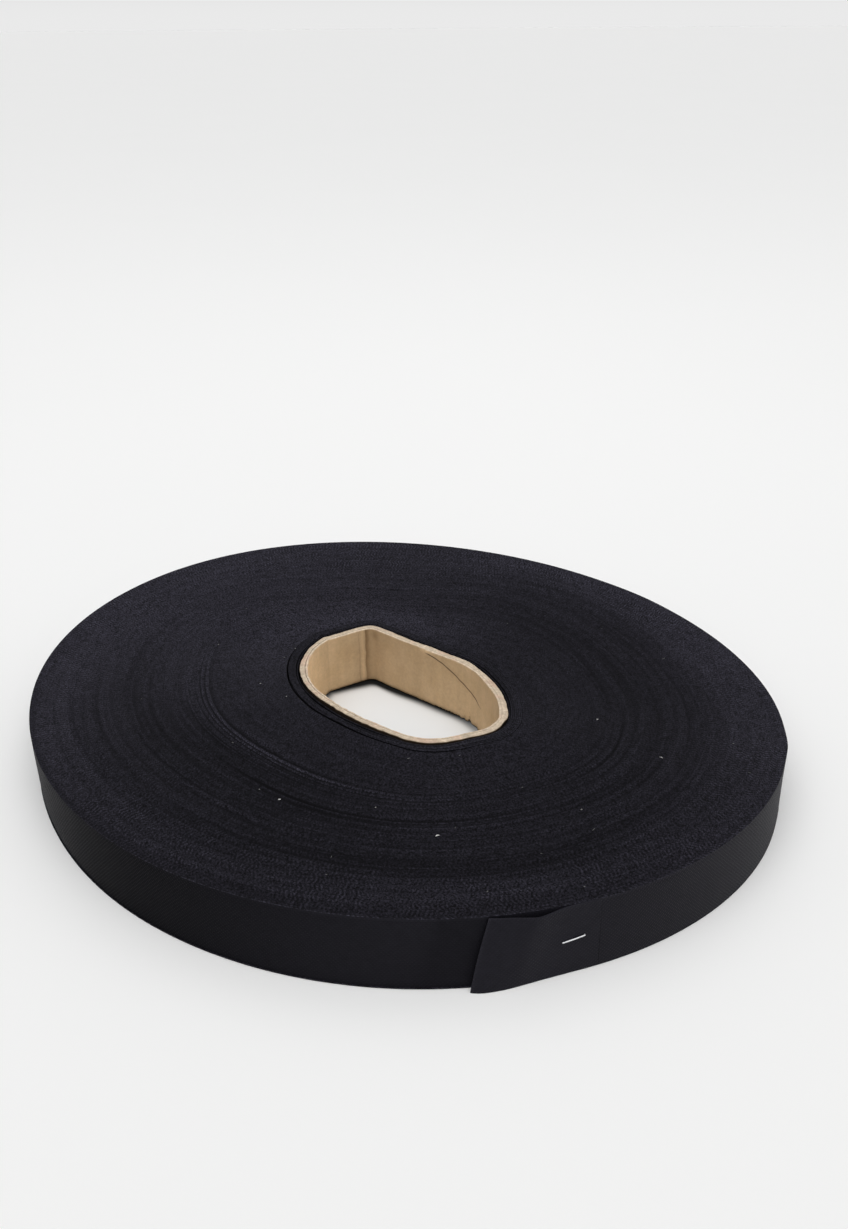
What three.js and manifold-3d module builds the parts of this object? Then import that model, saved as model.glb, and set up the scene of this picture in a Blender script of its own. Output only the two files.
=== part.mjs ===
// A roll of non-woven strip lying flat on its side: many turns of a 1 inch strip wound on a cardboard tube that
// has been pressed into a lopsided oval. The last few centimetres of the strip run off the roll at the front, are
// pinned to the turn below by a wire staple, and bow outwards with their lower corner flared.
// Millimetres, +Z up. The origin is on the surface that the roll lies on, under the middle of its bounding box.
// The front, where the loose end is, faces -Y.

import * as THREE from 'three';
import { mergeVertices } from 'three/addons/utils/BufferGeometryUtils.js';
import Module from 'manifold-3d';

// ---- driving dimensions ----
const STRIP_WIDTH = 25.4;          // a 1 inch strip, so this is also the height of the roll
const CLEARANCE = 0.3;             // between pieces that touch

const ROLL = {
  meanRadius: 137.5,
  ovalBy: 8.6, ovalBearing: -37.6, // two-lobed part of the outline: half of long minus short, and where it is longest
  eggBy: 1.42, eggBearing: -6.6,   // three-lobed part: one end blunter than the other
  segments: 176,
};

const TUBE = {
  height: 25.2,
  wall: 3.0,                       // a 3 inch (76 mm) bore tube, 82 mm across before it was pressed
  arcSteps: 9,                     // facets round each bend
};

// Outer face of the pressed tube: straight sides between rounded bends, anticlockwise from the creased corner.
const TUBE_BENDS = [
  { x: -10.4, y: 48.1, radius: 7.0 },
  { x: -30.1, y: 36.8, radius: 4.4 },
  { x: -43.9, y: 10.5, radius: 39.5 },
  { x: -18.8, y: -25.1, radius: 106.2 },
  { x: 12.0, y: -46.2, radius: 20.3 },
  { x: 41.3, y: -34.6, radius: 15.2 },
  { x: 43.1, y: -12.5, radius: 48.6 },
  { x: 32.0, y: 13.1, radius: 39.2 },
];

// Inner face of the first turn. It touches the tube at the back and stands off it at the front left.
const FIRST_TURN_BENDS = [
  { x: -10.3, y: 49.7, radius: 10.0 },
  { x: -31.0, y: 38.9, radius: 6.0 },
  { x: -41.2, y: 20.0, radius: 22.0 },
  { x: -36.0, y: -15.0, radius: 45.0 },
  { x: 11.8, y: -50.2, radius: 24.9 },
  { x: 43.0, y: -35.0, radius: 17.9 },
  { x: 44.2, y: -11.4, radius: 46.6 },
  { x: 32.3, y: 14.1, radius: 43.0 },
];

const LOOSE_END = {
  thickness: 1.0,
  rootBearing: -69.6,              // where the loose end parts from the turn that carries on round the roll
  cutBearingTop: -83.4,            // upper corner of the slanted cut
  cutBearingBottom: -85.4,         // lower corner
  steps: 30, rows: 6,
};

// How far the loose end's inner face stands off the turn below it, along its upper and lower edges.
// fromCut: distance from the cut end.
const LOOSE_END_BOW = [
  { fromCut: 0, upper: 0.5, lower: 1.7 },
  { fromCut: 3, upper: 1.1, lower: 2.4 },
  { fromCut: 7, upper: 1.9, lower: 2.3 },
  { fromCut: 11, upper: 2.6, lower: 2.1 },
  { fromCut: 14, upper: 2.9, lower: 1.8 },
  { fromCut: 17, upper: 2.5, lower: 1.4 },
  { fromCut: 20, upper: 1.3, lower: 0.9 },
  { fromCut: 23, upper: 0.5, lower: 0.5 },
  { fromCut: 27, upper: 0.3, lower: 0.3 },
  { fromCut: 40, upper: 0.3, lower: 0.3 },
];

const STAPLE = {
  crown: 7.8, wire: 0.5, leg: 4.8,
  bearing: -73.1, height: 12.9,    // middle of the crown
  tilt: 9.3,                       // degrees, the end away from the cut is the higher one
  hole: 1.1,                       // square hole that each leg passes through
};

// Middle of the whole object's bounding box in the coordinates that the tables above use.
const BOX_MIDDLE = { x: 1.661, y: -0.502 };

const LAYER_STEP = LOOSE_END.thickness + CLEARANCE;   // the outline's step where the loose end leaves it

const rad = (degrees) => degrees * Math.PI / 180;

// ---- plan outlines ----

// Point of the roll's outline whose outward normal has this bearing, moved out along the normal by offset.
function rollPoint(bearing, offset = 0) {
  const a = rad(bearing);
  const oval = 2 * (a - rad(ROLL.ovalBearing));
  const egg = 3 * (a - rad(ROLL.eggBearing));
  const reach = ROLL.meanRadius + ROLL.ovalBy * Math.cos(oval) + ROLL.eggBy * Math.cos(egg) + offset;
  const slope = -2 * ROLL.ovalBy * Math.sin(oval) - 3 * ROLL.eggBy * Math.sin(egg);
  return new THREE.Vector2(
    reach * Math.cos(a) - slope * Math.sin(a),
    reach * Math.sin(a) + slope * Math.cos(a),
  );
}

// The strip winds inwards anticlockwise, so the outline falls by one layer over a full turn from the root.
function turnOffset(bearing) {
  let turned = (bearing - LOOSE_END.rootBearing) / 360;
  turned -= Math.floor(turned);
  return LAYER_STEP * (0.5 - turned);
}

function rollOutline() {
  const points = [];
  for (let i = 0; i <= ROLL.segments; i++) {
    const turned = i / ROLL.segments;
    const bearing = LOOSE_END.rootBearing + 360 * turned;
    points.push(rollPoint(bearing, LAYER_STEP * (0.5 - turned)));
  }
  return points;
}

// Closed outline with straight sides and a rounded bend at each row of the table. inset moves it inwards.
function bentOutline(bends, inset = 0) {
  const points = [];
  const n = bends.length;
  for (let i = 0; i < n; i++) {
    const at = new THREE.Vector2(bends[i].x, bends[i].y);
    const back = new THREE.Vector2(bends[(i + n - 1) % n].x, bends[(i + n - 1) % n].y).sub(at).normalize();
    const on = new THREE.Vector2(bends[(i + 1) % n].x, bends[(i + 1) % n].y).sub(at).normalize();
    const half = Math.acos(THREE.MathUtils.clamp(back.dot(on), -1, 1)) / 2;
    const centre = back.clone().add(on).normalize().multiplyScalar(bends[i].radius / Math.sin(half)).add(at);
    const tangent = bends[i].radius / Math.tan(half);
    const first = back.clone().multiplyScalar(tangent).add(at).sub(centre);
    const last = on.clone().multiplyScalar(tangent).add(at).sub(centre);
    const from = Math.atan2(first.y, first.x);
    let sweep = Math.atan2(last.y, last.x) - from;
    sweep -= 2 * Math.PI * Math.round(sweep / (2 * Math.PI));
    const radius = bends[i].radius - inset;
    for (let k = 0; k <= TUBE.arcSteps; k++) {
      const a = from + sweep * k / TUBE.arcSteps;
      points.push(new THREE.Vector2(centre.x + radius * Math.cos(a), centre.y + radius * Math.sin(a)));
    }
  }
  return points;
}

function ringPrism(outer, inner, height) {
  const shape = new THREE.Shape(outer);
  shape.holes.push(new THREE.Path(inner));
  return new THREE.ExtrudeGeometry(shape, { depth: height, bevelEnabled: false, steps: 1 });
}

// ---- the loose end, a thin sheet between its upper and lower edge curves ----

// Smooth value of one column of the bow table at this distance from the cut.
function bowAt(fromCut, column) {
  const rows = LOOSE_END_BOW;
  let i = 0;
  while (i < rows.length - 2 && fromCut > rows[i + 1].fromCut) i++;
  const before = rows[Math.max(i - 1, 0)], a = rows[i], b = rows[i + 1], after = rows[Math.min(i + 2, rows.length - 1)];
  const slope = (p, q) => (q[column] - p[column]) / Math.max(q.fromCut - p.fromCut, 1e-6);
  const span = b.fromCut - a.fromCut;
  const t = THREE.MathUtils.clamp((fromCut - a.fromCut) / span, 0, 1);
  const slopeA = i === 0 ? slope(a, b) : slope(before, b);
  const slopeB = i === rows.length - 2 ? 0 : slope(a, after);
  const value = (2 * t ** 3 - 3 * t ** 2 + 1) * a[column] + (t ** 3 - 2 * t ** 2 + t) * span * slopeA
    + (3 * t ** 2 - 2 * t ** 3) * b[column] + (t ** 3 - t ** 2) * span * slopeB;
  return Math.max(value, CLEARANCE);
}

function looseEndGeometry() {
  const { steps, rows, thickness } = LOOSE_END;
  const root = LOOSE_END.rootBearing - 0.13;          // stops short of the step in the outline
  const position = [];
  const index = [];
  for (let side = 0; side < 2; side++) {
    for (let i = 0; i <= steps; i++) {
      for (let j = 0; j <= rows; j++) {
        const up = j / rows;
        const cut = THREE.MathUtils.lerp(LOOSE_END.cutBearingBottom, LOOSE_END.cutBearingTop, up);
        const bearing = THREE.MathUtils.lerp(cut, root, i / steps);
        const fromCut = rollPoint(bearing).distanceTo(rollPoint(cut));
        const bow = THREE.MathUtils.lerp(bowAt(fromCut, 'lower'), bowAt(fromCut, 'upper'), up);
        const p = rollPoint(bearing, turnOffset(bearing) + bow + side * thickness);
        position.push(p.x, p.y, STRIP_WIDTH * up);
      }
    }
  }
  const at = (side, i, j) => side * (steps + 1) * (rows + 1) + i * (rows + 1) + j;
  const quad = (a, b, c, d) => index.push(a, b, c, a, c, d);
  for (let i = 0; i < steps; i++) {
    for (let j = 0; j < rows; j++) {
      quad(at(1, i, j), at(1, i + 1, j), at(1, i + 1, j + 1), at(1, i, j + 1));
      quad(at(0, i, j), at(0, i, j + 1), at(0, i + 1, j + 1), at(0, i + 1, j));
    }
    quad(at(0, i, 0), at(0, i + 1, 0), at(1, i + 1, 0), at(1, i, 0));
    quad(at(0, i, rows), at(1, i, rows), at(1, i + 1, rows), at(0, i + 1, rows));
  }
  for (let j = 0; j < rows; j++) {
    quad(at(0, 0, j), at(1, 0, j), at(1, 0, j + 1), at(0, 0, j + 1));
    quad(at(0, steps, j), at(0, steps, j + 1), at(1, steps, j + 1), at(1, steps, j));
  }
  const geometry = new THREE.BufferGeometry();
  geometry.setAttribute('position', new THREE.Float32BufferAttribute(position, 3));
  geometry.setIndex(index);
  return geometry;
}

// ---- the staple ----

// Its frame: X along the crown, Y outwards from the roll, origin on the outer face of the loose end.
function stapleMatrix() {
  const foot = rollPoint(STAPLE.bearing, turnOffset(STAPLE.bearing) + LAYER_STEP);
  const a = rad(STAPLE.bearing);
  const outward = new THREE.Vector3(Math.cos(a), Math.sin(a), 0);
  const along = new THREE.Vector3(-Math.sin(a), Math.cos(a), 0).applyAxisAngle(outward, -rad(STAPLE.tilt));
  const across = new THREE.Vector3().crossVectors(along, outward);
  return new THREE.Matrix4().makeBasis(along, outward, across).setPosition(foot.x, foot.y, STAPLE.height);
}

function stapleGeometry() {
  const { crown, wire, leg } = STAPLE;
  const h = crown / 2, in0 = CLEARANCE, out0 = CLEARANCE + wire, r = 0.35;
  const shape = new THREE.Shape([
    new THREE.Vector2(-h, out0 - r), new THREE.Vector2(-h, in0 - leg), new THREE.Vector2(-h + wire, in0 - leg),
    new THREE.Vector2(-h + wire, in0), new THREE.Vector2(h - wire, in0), new THREE.Vector2(h - wire, in0 - leg),
    new THREE.Vector2(h, in0 - leg), new THREE.Vector2(h, out0 - r), new THREE.Vector2(h - r, out0),
    new THREE.Vector2(-h + r, out0),
  ]);
  return new THREE.ExtrudeGeometry(shape, { depth: wire, bevelEnabled: false }).translate(0, 0, -wire / 2)
    .applyMatrix4(stapleMatrix());
}

function legHoles() {
  const { crown, wire, leg, hole } = STAPLE;
  return [-1, 1].map((end) => {
    const depth = leg + 2;
    return new THREE.BoxGeometry(hole, depth, hole)
      .translate(end * (crown - wire) / 2, 1 - depth / 2 + CLEARANCE, 0).applyMatrix4(stapleMatrix());
  });
}

// ---- solids ----

const wasm = await Module();
wasm.setup();

function toSolid(geometry) {
  const bare = new THREE.BufferGeometry();
  bare.setAttribute('position', geometry.getAttribute('position').clone());
  if (geometry.index) bare.setIndex(geometry.index.clone());
  const merged = mergeVertices(bare, 1e-4);
  return new wasm.Manifold(new wasm.Mesh({
    numProp: 3,
    vertProperties: new Float32Array(merged.getAttribute('position').array),
    triVerts: new Uint32Array(merged.index.array),
  }));
}

function toGeometry(solid) {
  const mesh = solid.getMesh();
  const geometry = new THREE.BufferGeometry();
  geometry.setAttribute('position', new THREE.Float32BufferAttribute(mesh.vertProperties, 3));
  geometry.setIndex(new THREE.Uint32BufferAttribute(mesh.triVerts, 1));
  geometry.computeVertexNormals();
  return geometry;
}

function pierced(geometry) {
  let solid = toSolid(geometry);
  for (const hole of legHoles()) solid = solid.subtract(toSolid(hole));
  return toGeometry(solid);
}

const cloth = new THREE.MeshStandardMaterial({ color: 0x1d1d21, roughness: 0.85, metalness: 0 });
const clothEnd = new THREE.MeshStandardMaterial({ color: 0x222227, roughness: 0.82, metalness: 0 });
const kraft = new THREE.MeshStandardMaterial({ color: 0xa98c66, roughness: 0.9, metalness: 0 });
const steelWire = new THREE.MeshStandardMaterial({ color: 0xc9cbd0, roughness: 0.3, metalness: 1 });

function piece(name, geometry, material) {
  const mesh = new THREE.Mesh(geometry, material);
  mesh.name = name;
  return mesh;
}

const roll = new THREE.Group();
roll.name = 'non_woven_strip_roll';
roll.position.set(-BOX_MIDDLE.x, -BOX_MIDDLE.y, 0);
roll.add(
  piece('strip_roll', pierced(ringPrism(rollOutline(), bentOutline(FIRST_TURN_BENDS), STRIP_WIDTH)), cloth),
  piece('core_tube', ringPrism(bentOutline(TUBE_BENDS), bentOutline(TUBE_BENDS, TUBE.wall), TUBE.height), kraft),
  piece('loose_end', pierced(looseEndGeometry()), clothEnd),
  piece('staple', stapleGeometry(), steelWire),
);

const scene = new THREE.Group();
scene.add(roll);

export default scene;
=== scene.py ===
# A roll of black non-woven strip lying flat on a pale surface: some 175 turns of a 1 inch strip round a cardboard
# tube that has been pressed into a lopsided oval, its loose end pinned by a small wire staple.
# Tables and sizes are in millimetres, in the coordinates of the plan tables; BOX_MIDDLE moves them to the model's
# frame and everything is written in metres.

import math

import bpy
import numpy as np
from mathutils import Matrix


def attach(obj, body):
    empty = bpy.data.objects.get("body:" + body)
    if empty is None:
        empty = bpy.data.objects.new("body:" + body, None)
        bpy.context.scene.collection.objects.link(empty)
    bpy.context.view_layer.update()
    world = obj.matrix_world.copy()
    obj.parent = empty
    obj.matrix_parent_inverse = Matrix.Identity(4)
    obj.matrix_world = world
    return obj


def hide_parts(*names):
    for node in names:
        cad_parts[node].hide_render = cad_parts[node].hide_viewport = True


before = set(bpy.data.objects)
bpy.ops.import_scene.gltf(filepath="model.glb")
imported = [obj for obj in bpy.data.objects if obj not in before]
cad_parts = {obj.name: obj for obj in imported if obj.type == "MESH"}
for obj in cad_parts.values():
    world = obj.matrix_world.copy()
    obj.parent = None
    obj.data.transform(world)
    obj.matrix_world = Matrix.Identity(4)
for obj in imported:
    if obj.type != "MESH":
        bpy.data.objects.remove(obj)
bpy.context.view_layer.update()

# ---------------------------------------------------------------- sizes

STRIP_WIDTH = 25.4
BOX_MIDDLE = (1.661, -0.502)
CENTRE = np.array([0.5, 0.5])          # pole of the polar grid that the turns are built on

TURNS = 175
COLUMNS = 384                          # steps round one turn
LAYER = 0.53                           # one turn of strip, at the outline

ROOT_BEARING = -69.6                   # where the loose end parts from the roll
CUT_TOP, CUT_BOTTOM = -83.4, -85.5     # the two corners of the slanted cut
SHEET = 0.46                           # thickness of the strip

MEAN_RADIUS, OVAL_BY, OVAL_AT, EGG_BY, EGG_AT = 137.5, 8.6, -37.6, 1.42, -6.6

# x, y, radius of each bend of the pressed tube's outer face
TUBE_BENDS = [
    (-10.4, 48.1, 7.0), (-30.1, 36.8, 4.4), (-43.9, 10.5, 39.5), (-18.8, -25.1, 106.2),
    (12.0, -46.2, 20.3), (41.3, -34.6, 15.2), (43.1, -12.5, 48.6), (32.0, 13.1, 39.2),
]
TUBE_WALL, TUBE_TOP = 3.0, 25.2

# x, y, radius of each bend of the first turn's inner face
FIRST_TURN_BENDS = [
    (-10.3, 49.7, 10.0), (-31.0, 38.9, 6.0), (-41.2, 20.0, 22.0), (-36.0, -15.0, 45.0),
    (11.8, -50.2, 24.9), (43.0, -35.0, 17.9), (44.2, -11.4, 46.6), (32.3, 14.1, 43.0),
]

# How the turns depart from an even spacing between the first and the last: for the first (even) and second (odd)
# shape across the winding, the cosine and sine parts of one to six lobes round the roll.
LOBES_EVEN = [(0.0261, -0.0259), (0.0334, 0.0221), (-0.0191, 0.0298), (-0.0135, -0.0167), (0.0046, -0.0107), (0.0009, 0.0051)]
LOBES_ODD = [(0.0062, 0.009), (-0.0061, -0.0081), (0.008, -0.0057), (0.0033, -0.0018), (0.0003, 0.0038), (-0.0037, 0.0012)]

# Where the outline departs from that: bearing, outwards, reach in degrees
BUMPS = [(168, 0.45, 16), (-14, 0.35, 11), (-19.0, 0.48, 2.2), (34, 0.40, 5)]

# How far the loose end stands off the turn below, along its upper and lower edges: from_cut, upper, lower
BOW = [
    (0, 0.62, 2.2), (3, 0.95, 2.6), (7, 1.30, 2.5), (11, 1.90, 2.1), (14, 2.30, 1.65),
    (17, 1.80, 1.2), (20, 1.00, 0.80), (23, 0.42, 0.50), (27, 0.12, 0.24), (32, 0.02, 0.06), (44, 0.0, 0.0),
]

# The few turns next to the tube stand apart from the rest. Round the roll (degrees): the inner face of the first of
# them and of the second, and the groove outside the last, all measured out from the tube, and the groove's width
START = [
    # round, first, second, groove, wide
    (-180, 0.8, 1.8, 4.7, 0.90), (-168, 0.8, 2.0, 5.1, 1.15), (-156, 0.9, 2.8, 5.5, 1.25), (-144, 0.9, 2.9, 5.7, 1.35),
    (-132, 0.9, 2.9, 5.4, 1.30), (-120, 0.9, 2.9, 5.4, 1.30), (-108, 0.9, 3.0, 5.8, 1.30), (-96, 0.9, 2.9, 6.1, 1.25),
    (-84, 0.8, 2.1, 5.9, 1.05), (-72, 0.8, 1.5, 5.6, 0.75), (-60, 0.8, 1.4, 5.5, 0.45), (-48, 0.7, 1.3, 5.5, 0.24),
    (-30, 0.6, 1.3, 5.6, 0.14), (-12, 0.7, 1.9, 5.6, 0.12), (12, 0.8, 2.0, 5.6, 0.10), (36, 0.8, 1.5, 5.2, 0.06),
    (60, 0.8, 1.4, 5.0, 0.06), (90, 0.7, 1.3, 4.9, 0.06), (120, 0.8, 1.4, 4.9, 0.10), (144, 0.9, 1.5, 4.9, 0.28),
    (156, 0.8, 1.7, 4.8, 0.50), (168, 0.8, 1.7, 4.7, 0.70),
]
START_TURNS = 7
SPREAD_FROM = 0.0305                   # place across the winding of the innermost of the remaining turns

# Turns that were wound high or low. at: place across the winding, 0 by the tube and 1 outside; lift: mm; wide: turns;
# tone: how much lighter or darker their edges are painted, painted shade on sunk turns and painted light on raised
# ones;
# bearing and reach: where round the roll it is strongest and how far it runs either way, degrees
UNEVEN = [
    # at, lift, wide, tone, bearing, reach
    (0.150, -0.14, 0.68, -0.12, -95, 60),
    (0.184, 0.12, 0.75, 0.10, -130, 50),
    (0.213, -0.12, 0.60, -0.10, -90, 60),
    (0.274, -0.10, 0.60, -0.10, -140, 40),
    (0.309, 0.20, 0.83, 0.28, -125, 60),
    (0.399, -0.18, 0.59, -0.21, -105, 60),
    (0.410, 0.10, 0.60, 0.12, -105, 50),
    (0.448, -0.14, 0.75, -0.14, -85, 60),
    (0.465, 0.14, 0.68, 0.16, -105, 55),
    (0.479, -0.16, 0.68, -0.18, -130, 45),
    (0.491, 0.14, 0.60, 0.18, -140, 40),
    (0.507, -0.20, 0.75, -0.20, -110, 55),
    (0.522, 0.26, 0.83, 0.28, -105, 62),
    (0.542, -0.24, 0.83, -0.22, -80, 65),
    (0.563, 0.20, 0.75, 0.22, -95, 75),
    (0.588, -0.18, 0.83, -0.18, -65, 60),
    (0.622, -0.14, 0.68, -0.14, -125, 50),
    (0.639, 0.12, 0.60, 0.12, -95, 60),
    (0.654, -0.12, 0.68, -0.12, -90, 60),
    (0.727, -0.12, 0.68, -0.12, -95, 70),
    (0.777, -0.22, 0.83, -0.18, -105, 70),
    (0.791, 0.26, 0.83, 0.26, -110, 75),
    (0.813, -0.32, 0.75, -0.34, -145, 40),
    (0.828, -0.24, 0.60, -0.24, -140, 42),
    (0.838, 0.20, 0.68, 0.22, -140, 42),
    (0.850, 0.16, 0.75, 0.16, -75, 50),
    (0.863, -0.14, 0.68, -0.14, -40, 45),
    (0.879, 0.14, 0.68, 0.16, -140, 42),
    (0.892, -0.16, 0.68, -0.18, -135, 45),
    (0.921, 0.12, 0.68, 0.10, -120, 55),
    (0.973, -0.20, 0.98, -0.14, -95, 70),
    (0.427, -0.14, 0.60, -0.20, -120, 34),
    (0.462, -0.20, 0.60, -0.30, -142, 26),
    (0.551, -0.18, 0.60, -0.24, -136, 26),
    (0.560, 0.16, 0.60, 0.24, -112, 26),
    (0.476, -0.16, 0.70, -0.20, -96, 26),
    (0.3270, -0.46, 0.70, -1.18, -134, 57),
    (0.3387, 0.33, 0.50, 2.16, -144, 53),
    (0.3480, -0.37, 0.60, -1.20, -147, 47),
    (0.3548, 0.29, 0.48, 2.24, -152, 46),
    (0.3656, -0.29, 0.55, -1.20, -154, 40),
    (0.3710, 0.22, 0.42, 1.58, -158, 34),
    (0.3790, -0.20, 0.50, -1.08, -158, 33),
    (0.3840, 0.17, 0.40, 1.33, -162, 29),
    (0.3887, -0.17, 0.45, -1.00, -164, 27),
    (0.3950, 0.15, 0.42, 1.24, -164, 25),
    (0.4005, -0.15, 0.45, -0.94, -162, 25),
    (0.4070, 0.13, 0.42, 0.96, -164, 23),
    (0.4125, -0.13, 0.45, -0.78, -162, 23),
]

# Broad bands of turns painted lighter or darker: partly fuzzier or flatter edges, partly painted sheen and painted
# shade, lighter towards the back and the right, darker in bands at the front: at, wide, tone, bearing, reach
NAP_AND_SHEEN = [
    (0.46, 0.10, -0.32, -125, 40),
    (0.75, 0.07, -0.15, -135, 42),
    (0.62, 0.16, -0.06, -90, 70),
    (0.12, 0.16, 0.16, -60, 90),
    (0.90, 0.07, 0.16, -95, 70),
    (0.40, 0.60, 0.62, 122, 48),
    (0.10, 0.14, 0.60, 112, 40),
    (0.93, 0.12, 1.55, 20, 38),
    (0.93, 0.12, 1.15, 165, 42),
    (0.60, 0.22, 0.60, 156, 22),
    (0.12, 0.16, 0.22, 100, 30),
    (0.10, 0.16, 0.24, 165, 24),
    (0.80, 0.10, 0.20, 5, 40),
    (0.33, 0.12, -0.14, 15, 50),
]

# Specks of lint on the upper face: x, y, long, wide, turned, bright
LINT = [
    (26.7, 103.2, 0.6, 0.3, 20, 0.10), (-73.6, 30.6, 0.8, 0.4, 70, 0.16), (-52.7, -1.3, 0.6, 0.45, 0, 0.38),
    (-41.7, -11.1, 0.5, 0.4, 30, 0.45), (-45.6, 19.2, 0.6, 0.4, 10, 0.14), (-41.9, 26.7, 0.6, 0.4, 60, 0.16),
    (-57.5, -42.5, 1.1, 0.3, -30, 0.17), (-44.6, -71.0, 0.6, 0.4, 0, 0.22), (-37.4, -76.7, 0.9, 0.6, 15, 0.72),
    (-5.9, -81.4, 0.5, 0.4, 40, 0.36), (13.8, -96.3, 1.5, 0.5, 28, 0.80), (19.5, -92.3, 1.0, 0.25, 65, 0.12),
    (-18.5, -106.2, 1.0, 0.25, 75, 0.10), (-19.4, -114.6, 0.6, 0.3, 10, 0.12), (72.6, -29.0, 0.7, 0.5, 50, 0.55),
    (91.2, -53.9, 1.6, 0.35, -38, 0.50), (117.9, -45.5, 0.6, 0.3, 0, 0.13), (60.2, -83.3, 0.7, 0.5, 20, 0.34),
    (42.2, -70.9, 0.7, 0.3, 0, 0.09), (45.3, -105.5, 0.6, 0.3, 0, 0.09), (62.7, -93.8, 1.6, 0.25, 55, 0.10),
    (28.0, -122.8, 0.6, 0.35, 45, 0.16), (56.5, -120.9, 0.6, 0.35, 20, 0.18), (45.2, 47.4, 1.0, 0.25, 80, 0.07),
    (104.9, 16.1, 1.4, 0.3, 40, 0.09), (22.0, -51.7, 0.6, 0.35, 15, 0.15), (4.5, -53.3, 1.3, 0.3, 25, 0.16),
    (-66.5, 63.3, 0.8, 0.3, 20, 0.10), (119.1, -63.3, 1.1, 0.25, -30, 0.08), (-6.0, 88.0, 0.7, 0.3, 5, 0.09),
    (-96.0, -12.0, 0.6, 0.3, 50, 0.08), (84.0, 42.0, 0.7, 0.25, 15, 0.08),
]

STAPLE = dict(crown=7.6, wire=0.46, leg=4.6, bearing=-73.1, height=12.9, tilt=9.3, stand=-0.06)

# Diagonal seam of the tube's inner ply: its height as a cubic of the angle round the wall, in units of 66.5 degrees
SEAM = (10.55, 16.26, 4.77, -7.88)
CREASE_AT = 107.4                      # where the inner wall is folded

rng = np.random.default_rng(20451)


# ---------------------------------------------------------------- plan outlines

def bell(x, wide):
    return np.exp(-0.5 * (x / wide) ** 2)


def rad(x):
    return np.asarray(x, float) * math.pi / 180


def roll_point(bearing, offset=0.0):
    """Point of the roll's outline whose outward normal has this bearing, moved out by offset."""
    a = rad(bearing)
    oval, egg = 2 * (a - rad(OVAL_AT)), 3 * (a - rad(EGG_AT))
    reach = MEAN_RADIUS + OVAL_BY * np.cos(oval) + EGG_BY * np.cos(egg) + offset
    slope = -2 * OVAL_BY * np.sin(oval) - 3 * EGG_BY * np.sin(egg)
    return np.stack([reach * np.cos(a) - slope * np.sin(a), reach * np.sin(a) + slope * np.cos(a)], -1)


def bent_outline(bends, inset=0.0, steps=24, between=14):
    out = []
    n = len(bends)
    rounds = []
    for i in range(n):
        at = np.array(bends[i][:2])
        back = np.array(bends[i - 1][:2]) - at
        on = np.array(bends[(i + 1) % n][:2]) - at
        back, on = back / np.linalg.norm(back), on / np.linalg.norm(on)
        half = math.acos(np.clip(back @ on, -1, 1)) / 2
        centre = at + (back + on) / np.linalg.norm(back + on) * bends[i][2] / math.sin(half)
        tangent = bends[i][2] / math.tan(half)
        a = at + back * tangent - centre
        b = at + on * tangent - centre
        start = math.atan2(a[1], a[0])
        sweep = math.atan2(b[1], b[0]) - start
        sweep -= 2 * math.pi * round(sweep / (2 * math.pi))
        angles = start + sweep * np.linspace(0, 1, steps + 1)
        rounds.append(centre + (bends[i][2] - inset) * np.stack([np.cos(angles), np.sin(angles)], 1))
    for i in range(n):
        out.append(rounds[i])
        a, b = rounds[i][-1], rounds[(i + 1) % n][0]
        out.append(a + (b - a) * np.linspace(0, 1, between + 2)[1:-1, None])
    return np.vstack(out)


def polar_of(points):
    q = points - CENTRE
    t, r = np.arctan2(q[:, 1], q[:, 0]), np.hypot(q[:, 0], q[:, 1])
    o = np.argsort(t)
    t, r = t[o], r[o]
    t, r = np.r_[t - 2 * math.pi, t, t + 2 * math.pi], np.r_[r, r, r]

    def radius(theta):
        return np.interp((np.asarray(theta) + math.pi) % (2 * math.pi) - math.pi, t, r)
    return radius


def softened(radius, by=1.2):
    """The same outline with its facets and corners rounded off a little."""
    theta = np.linspace(-math.pi, math.pi, 2880, endpoint=False)
    r = radius(theta)
    k = np.arange(-60, 61) * 360 / 2880
    w = np.exp(-0.5 * (k / by) ** 2)
    w /= w.sum()
    s = sum(wi * np.roll(r, i) for wi, i in zip(w, range(-60, 61)))
    t, s = np.r_[theta - 2 * math.pi, theta, theta + 2 * math.pi], np.r_[s, s, s]
    return lambda x: np.interp((np.asarray(x) + math.pi) % (2 * math.pi) - math.pi, t, s)


first_radius = softened(polar_of(bent_outline(FIRST_TURN_BENDS)), 1.0)
even_radius = polar_of(roll_point(np.linspace(-180, 180, 2881)[:-1], LAYER / 2))
tube_outer = polar_of(bent_outline(TUBE_BENDS))
tube_inner = polar_of(bent_outline(TUBE_BENDS, TUBE_WALL))



def last_radius(theta):
    """The outline, with the places where the last turns were drawn a little tighter or stand out."""
    degrees = (np.degrees(np.asarray(theta)) + 180) % 360 - 180
    out = 0.0 * degrees
    for bearing, by, reach in BUMPS:
        out = out + by * np.exp(-0.5 * (((degrees - bearing + 180) % 360 - 180) / reach) ** 2)
    return even_radius(theta) + out


root_point = roll_point(ROOT_BEARING, LAYER / 2)
ROOT = math.atan2(root_point[1] - CENTRE[1], root_point[0] - CENTRE[0])


def across(w, theta):
    """Place between the first and the last turn, allowing for how the turns bulge where the oval is flat."""
    w = np.asarray(w, float)
    inside = np.clip(w, 0, 1)
    even, odd = 4 * inside * (1 - inside), 8 * inside * (1 - inside) * (1 - 2 * inside)
    out = w.copy() if w.shape == np.shape(theta) else np.broadcast_to(w, np.broadcast(w, theta).shape).copy()
    for k in range(6):
        out = out + even * (LOBES_EVEN[k][0] * np.cos((k + 1) * theta) + LOBES_EVEN[k][1] * np.sin((k + 1) * theta))
        out = out + odd * (LOBES_ODD[k][0] * np.cos((k + 1) * theta) + LOBES_ODD[k][1] * np.sin((k + 1) * theta))
    return out


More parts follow.
